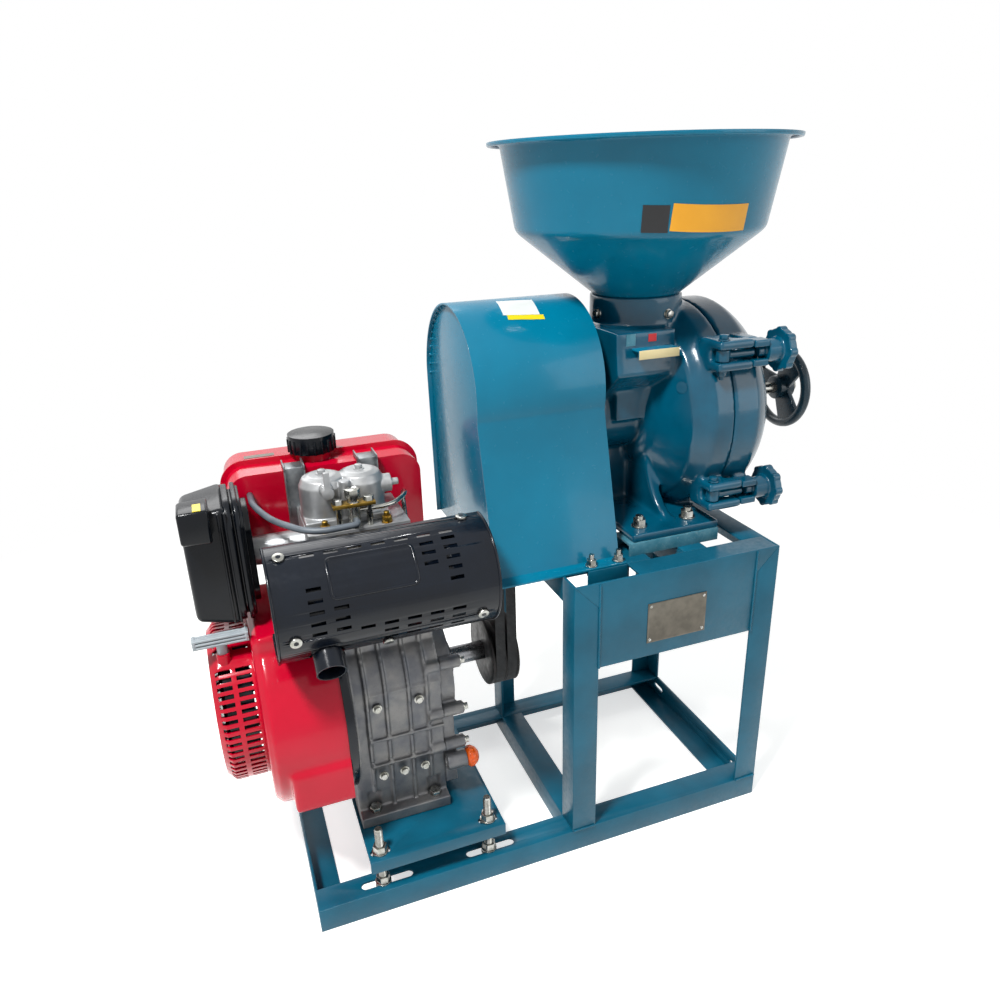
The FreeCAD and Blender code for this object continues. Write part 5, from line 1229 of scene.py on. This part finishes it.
    def shield_rims(self) -> None:
        """Rolled rims at both ends of the heat shield."""
        y, z, radius = self.shield
        first, sweep, count, thick = 84, 214, 60, 1.9
        angles = [math.radians(first + sweep * k / count) for k in range(count + 1)]
        arc = [(y + radius * math.cos(a), z + radius * math.sin(a)) for a in angles]
        begin, end = self.shield_ends
        rims = [tube(f"rim_{k}", [spot(x, *place) for place in arc], thick)
                for k, x in enumerate((begin + 1.0, end - 1.0))]
        dress(joined("shield_rolled_rims", rims), BLACK_SATIN_BLUE_REFLECTION, "machine", 60.0)

    def shield_socket_shades(self) -> None:
        """Black hexagons on the heat shield's screw heads: painted shade standing for the recesses of their
        hex sockets.
        """
        y, z, radius = self.shield
        begin, end = self.shield_ends
        size, deep, head = 3.4, 1.0, 3.7
        sockets = []
        for k, (x, angle) in enumerate(((begin + 18, 108), (end - 28, 92), (begin + 22, 193),
                                        (begin + 137, 226), (end - 24, 207))):
            turn = math.radians(angle)
            out = Vector((0, math.cos(turn), math.sin(turn)))
            bpy.ops.object.select_all(action="DESELECT")
            bpy.ops.mesh.primitive_cylinder_add(vertices=6, radius=size * MM, depth=deep * MM,
                                                location=spot(x, y, z) + out * (radius + head) * MM,
                                                rotation=out.to_track_quat("Z", "Y").to_euler())
            socket = bpy.context.active_object
            socket.name = f"screw_socket_shade_{k}"
            bpy.ops.object.transform_apply(location=True, rotation=True, scale=True)
            sockets.append(socket)
        dress(joined("shield_screw_socket_shades", sockets), BLACK_SATIN_BLUE_REFLECTION, "machine")

    def head_fittings(self) -> None:
        """Yellow unions on the head and the studs that hold the domed covers."""
        y, seat, across, height = -50, 566, 13, 9
        end = [(0, 0), (0, 4.2), (7, 4.2), (8, 3), (8, 0)]
        unions = [hex_head(f"head_union_{k}", (x, y, seat), Axis.Z, across, height, 8)
                  for k, x in enumerate((-285, -200))]
        unions += [turned(f"union_end_{k}", (x, y, seat + height), Axis.Z, end, 20)
                   for k, x in enumerate((-285, -200))]
        dress(joined("head_unions", unions), YELLOW_ZINC, "machine")
        caps = [hex_head(f"dome_nut_{k}", (x, 0, 632.6), Axis.Z, 10, 5, 8)
                for k, x in enumerate((-276, -224))]
        dress(joined("dome_nuts", caps), HEAD_ALLOY, "machine")

    def oil_cap(self) -> None:
        """Domed orange filler cap with a knurled rim."""
        at, rim, count = (-118.0, -97.0, 172.0), 15.0, 20
        stem = [(-12, 0), (-12, 8), (-1, 8)]
        crown = [(0.3, 13), (3, 15.2), (8, 16), (12, 15), (16, 12), (19, 7), (20, 0)]
        dome = turned("oil_filler_cap", at, Axis.X, stem + crown, 40)
        ridge = [(4.0, 0), (4.0, 1.6), (10, 1.4), (11, 0)]
        rib = turned("rib", (at[0], at[1], at[2] + rim), Axis.X, ridge, 8)
        ribs = []
        for k in range(1, count):
            copy = bpy.data.objects.new("rib", rib.data.copy())
            turn_about(copy, spot(*at), 360 * k / count, Axis.X)
            bpy.context.scene.collection.objects.link(copy)
            ribs.append(copy)
        cap = together(dome, [rib, *ribs])
        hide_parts("oil_cap")
        dress(cap, ORANGE_PLASTIC, "filler_cap", 40.0)

    def starter_drum_and_shade(self) -> None:
        """Drum of the rewind starter seen through the slots: it stands for the starter's reel, and its black
        is painted shade for the dark inside of the housing.
        """
        profile = [(9, 0), (9, 84), (14, 92), (26, 92), (26, 98), (50, 98), (50, 60), (44, 60), (44, 0)]
        drum = turned("starter_drum_and_shade", (-462, self.crank[0], 312), Axis.X, profile, 64)
        dress(drum, BLACK_SATIN_BLUE_REFLECTION, "machine")

    def grip(self) -> None:
        """Starter grip: a flat bar with rounded ends and long ribs, on its neck; the black core is its own
        colour, and the grey of ribs, ends and neck is painted highlight.
        """
        low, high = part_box("starter_grip")
        left = low.x / MM - STAND_MIDDLE[0]
        right = high.x / MM - STAND_MIDDLE[0]
        y, z, deep, tall, ridge, sunk = -62.0, 444.0, 8.8, 7.4, 2.3, 2.2
        core = block("starter_grip_core", (left + 3, y - deep + sunk, z - tall + sunk),
                     (right - 3, y + deep - sunk, z + tall - sunk), 2.0, 3)
        dress(core, BLACK_PLASTIC_BLUE_REFLECTION, "grip", 40.0)
        places = [(-deep + ridge, shift) for shift in (-tall + ridge, 0.0, tall - ridge)]
        places += [(shift, tall - ridge) for shift in (-1.6, 4.0)]
        ribs = [tube(f"grip_highlight_ridge_{k}", [spot(left, y + out, z + up), spot(right, y + out, z + up)], ridge)
                for k, (out, up) in enumerate(places)]
        ends = [block(f"grip_end_{k}", (x, y - deep, z - tall), (x + 5, y + deep, z + tall), 2.2, 3)
                for k, x in enumerate((left, right - 5))]
        neck = copy_of("starter_grip")
        self.neck_only(neck, spot(0, 0, z - tall + 3.0).z)
        bar = joined("starter_grip_bar", [ribs[0], neck, *ribs[1:], *ends])
        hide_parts("starter_grip")
        dress(bar, GRIP_HIGHLIGHT_GREY, "grip", 40.0)

    def neck_only(self, neck: bpy.types.Object, below: float) -> None:
        """Keep of a copy of the grip only what lies below its bar.

        Args:
            neck: copy of the grip.
            below: height in metres under which it is kept.
        """
        start(neck)
        bpy.ops.mesh.bisect(plane_co=(0, 0, below), plane_no=(0, 0, 1), use_fill=True, clear_outer=True)
        done()

    def air_cleaner_lid(self) -> None:
        """Lid of the air cleaner: tapered tub with its inlet snorkel and a plain tag."""
        outer, first_rib, pitch, rib_width = -466.0, -420.0, 8.0, 3.5
        body = block("air_cleaner_lid", (outer, -60, 456), (-408, 52, 626), 0)
        self.taper(body, outer, 0.88)
        bevel(body, 9.0, 4)
        snorkel = block("snorkel", (outer, -84, 590), (-428, -34, 636), 0)
        self.taper(snorkel, outer, 0.94)
        bevel(snorkel, 4.0, 3)
        ribs = [block(f"lid_rib_{k}", (x, -63, 462), (x + rib_width, 55, 620), 1.4, 2)
                for k, x in enumerate((first_rib, first_rib + pitch))]
        body = together(body, [snorkel, *ribs])
        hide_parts("air_cleaner_cover")
        dress(body, BLACK_PLASTIC_BLUE_REFLECTION, "machine", 40.0)
        tag = block("snorkel_tag", (-446, -81, 635.4), (-436, -56, 636.4), 0.15, 1)
        dress(tag, YELLOW_VINYL, "machine")

    def taper(self, piece: bpy.types.Object, x: float, share: float) -> None:
        """Narrow one face of a block.

        Args:
            piece: the block.
            x: where the face stands along X, in mm.
            share: share of its size that the face keeps.
        """
        end = spot(x, 0, 0).x
        corners = [v.co.copy() for v in piece.data.vertices if abs(v.co.x - end) < MERGE]
        middle = sum(corners, Vector()) / len(corners)
        pick(piece, "VERT", lambda corner: abs(corner.co.x - end) < MERGE)
        bpy.ops.transform.resize(value=(1, share, share), center_override=middle)
        done()

    def case_bolts(self) -> None:
        """Bolt heads on the bosses of the timing cover and on the front of the crankcase."""
        cover_x, front_y = -118, -98
        heads = [hex_head(f"case_bolt_{k}", (cover_x, y, z), Axis.X, 10, 6, 7.5)
                 for k, (y, z) in enumerate(((-86, 342), (-92, 263), (-90, 200), (84, 342), (90, 263)))]
        plug = [(0, 0), (0, 7), (-2, 7), (-2, 5.2), (-6, 5), (-6.6, 4.2), (-6.6, 0)]
        for k, (x, z) in enumerate(((-248, 180), (-216, 180), (-184, 180), (-248, 300), (-186, 300))):
            heads.append(turned(f"case_plug_{k}", (x, front_y, z), Axis.Y, plug, 24))
        dress(joined("crankcase_bolts", heads), ZINC_STEEL, "machine")


@dataclass
class FuelSystem:
    """Fuel tank with its cap and straps."""

    def build(self) -> None:
        """Dress the tank, its cap and its straps."""
        skin("fuel_tank", RED_GLOSS, 6.0, 5)
        skin("fuel_cap", BLACK_PLASTIC_BLUE_REFLECTION, 1.5, 3)
        skin("tank_straps", GALVANISED, 0.8)
        self.strap_edges()
        label("tank_plate", "fuel_tank", (-348, 146, 626), (0, 0, 1), (44, 13), PLATE_ALLOY)

    def strap_edges(self) -> None:
        """Turned-up edges of the straps, up the front of the tank and over its top."""
        width, thick, rise, front, low, top, over = 30.0, 2.2, 9.0, 58.0, 556.0, 624.0, 28.0
        edges = []
        for strap in (-322.0, -216.0):
            for x in (strap, strap + width - thick):
                for foot, y, z in ((low, front + 1, top + 3), (top, front + over, top + rise)):
                    edges.append(block(f"strap_edge_{len(edges)}", (x, front - rise, foot),
                                       (x + thick, y, z), 0.9, 2))
        dress(joined("strap_edges", edges), GALVANISED, "machine")


if __name__ == "__main__":
    main()
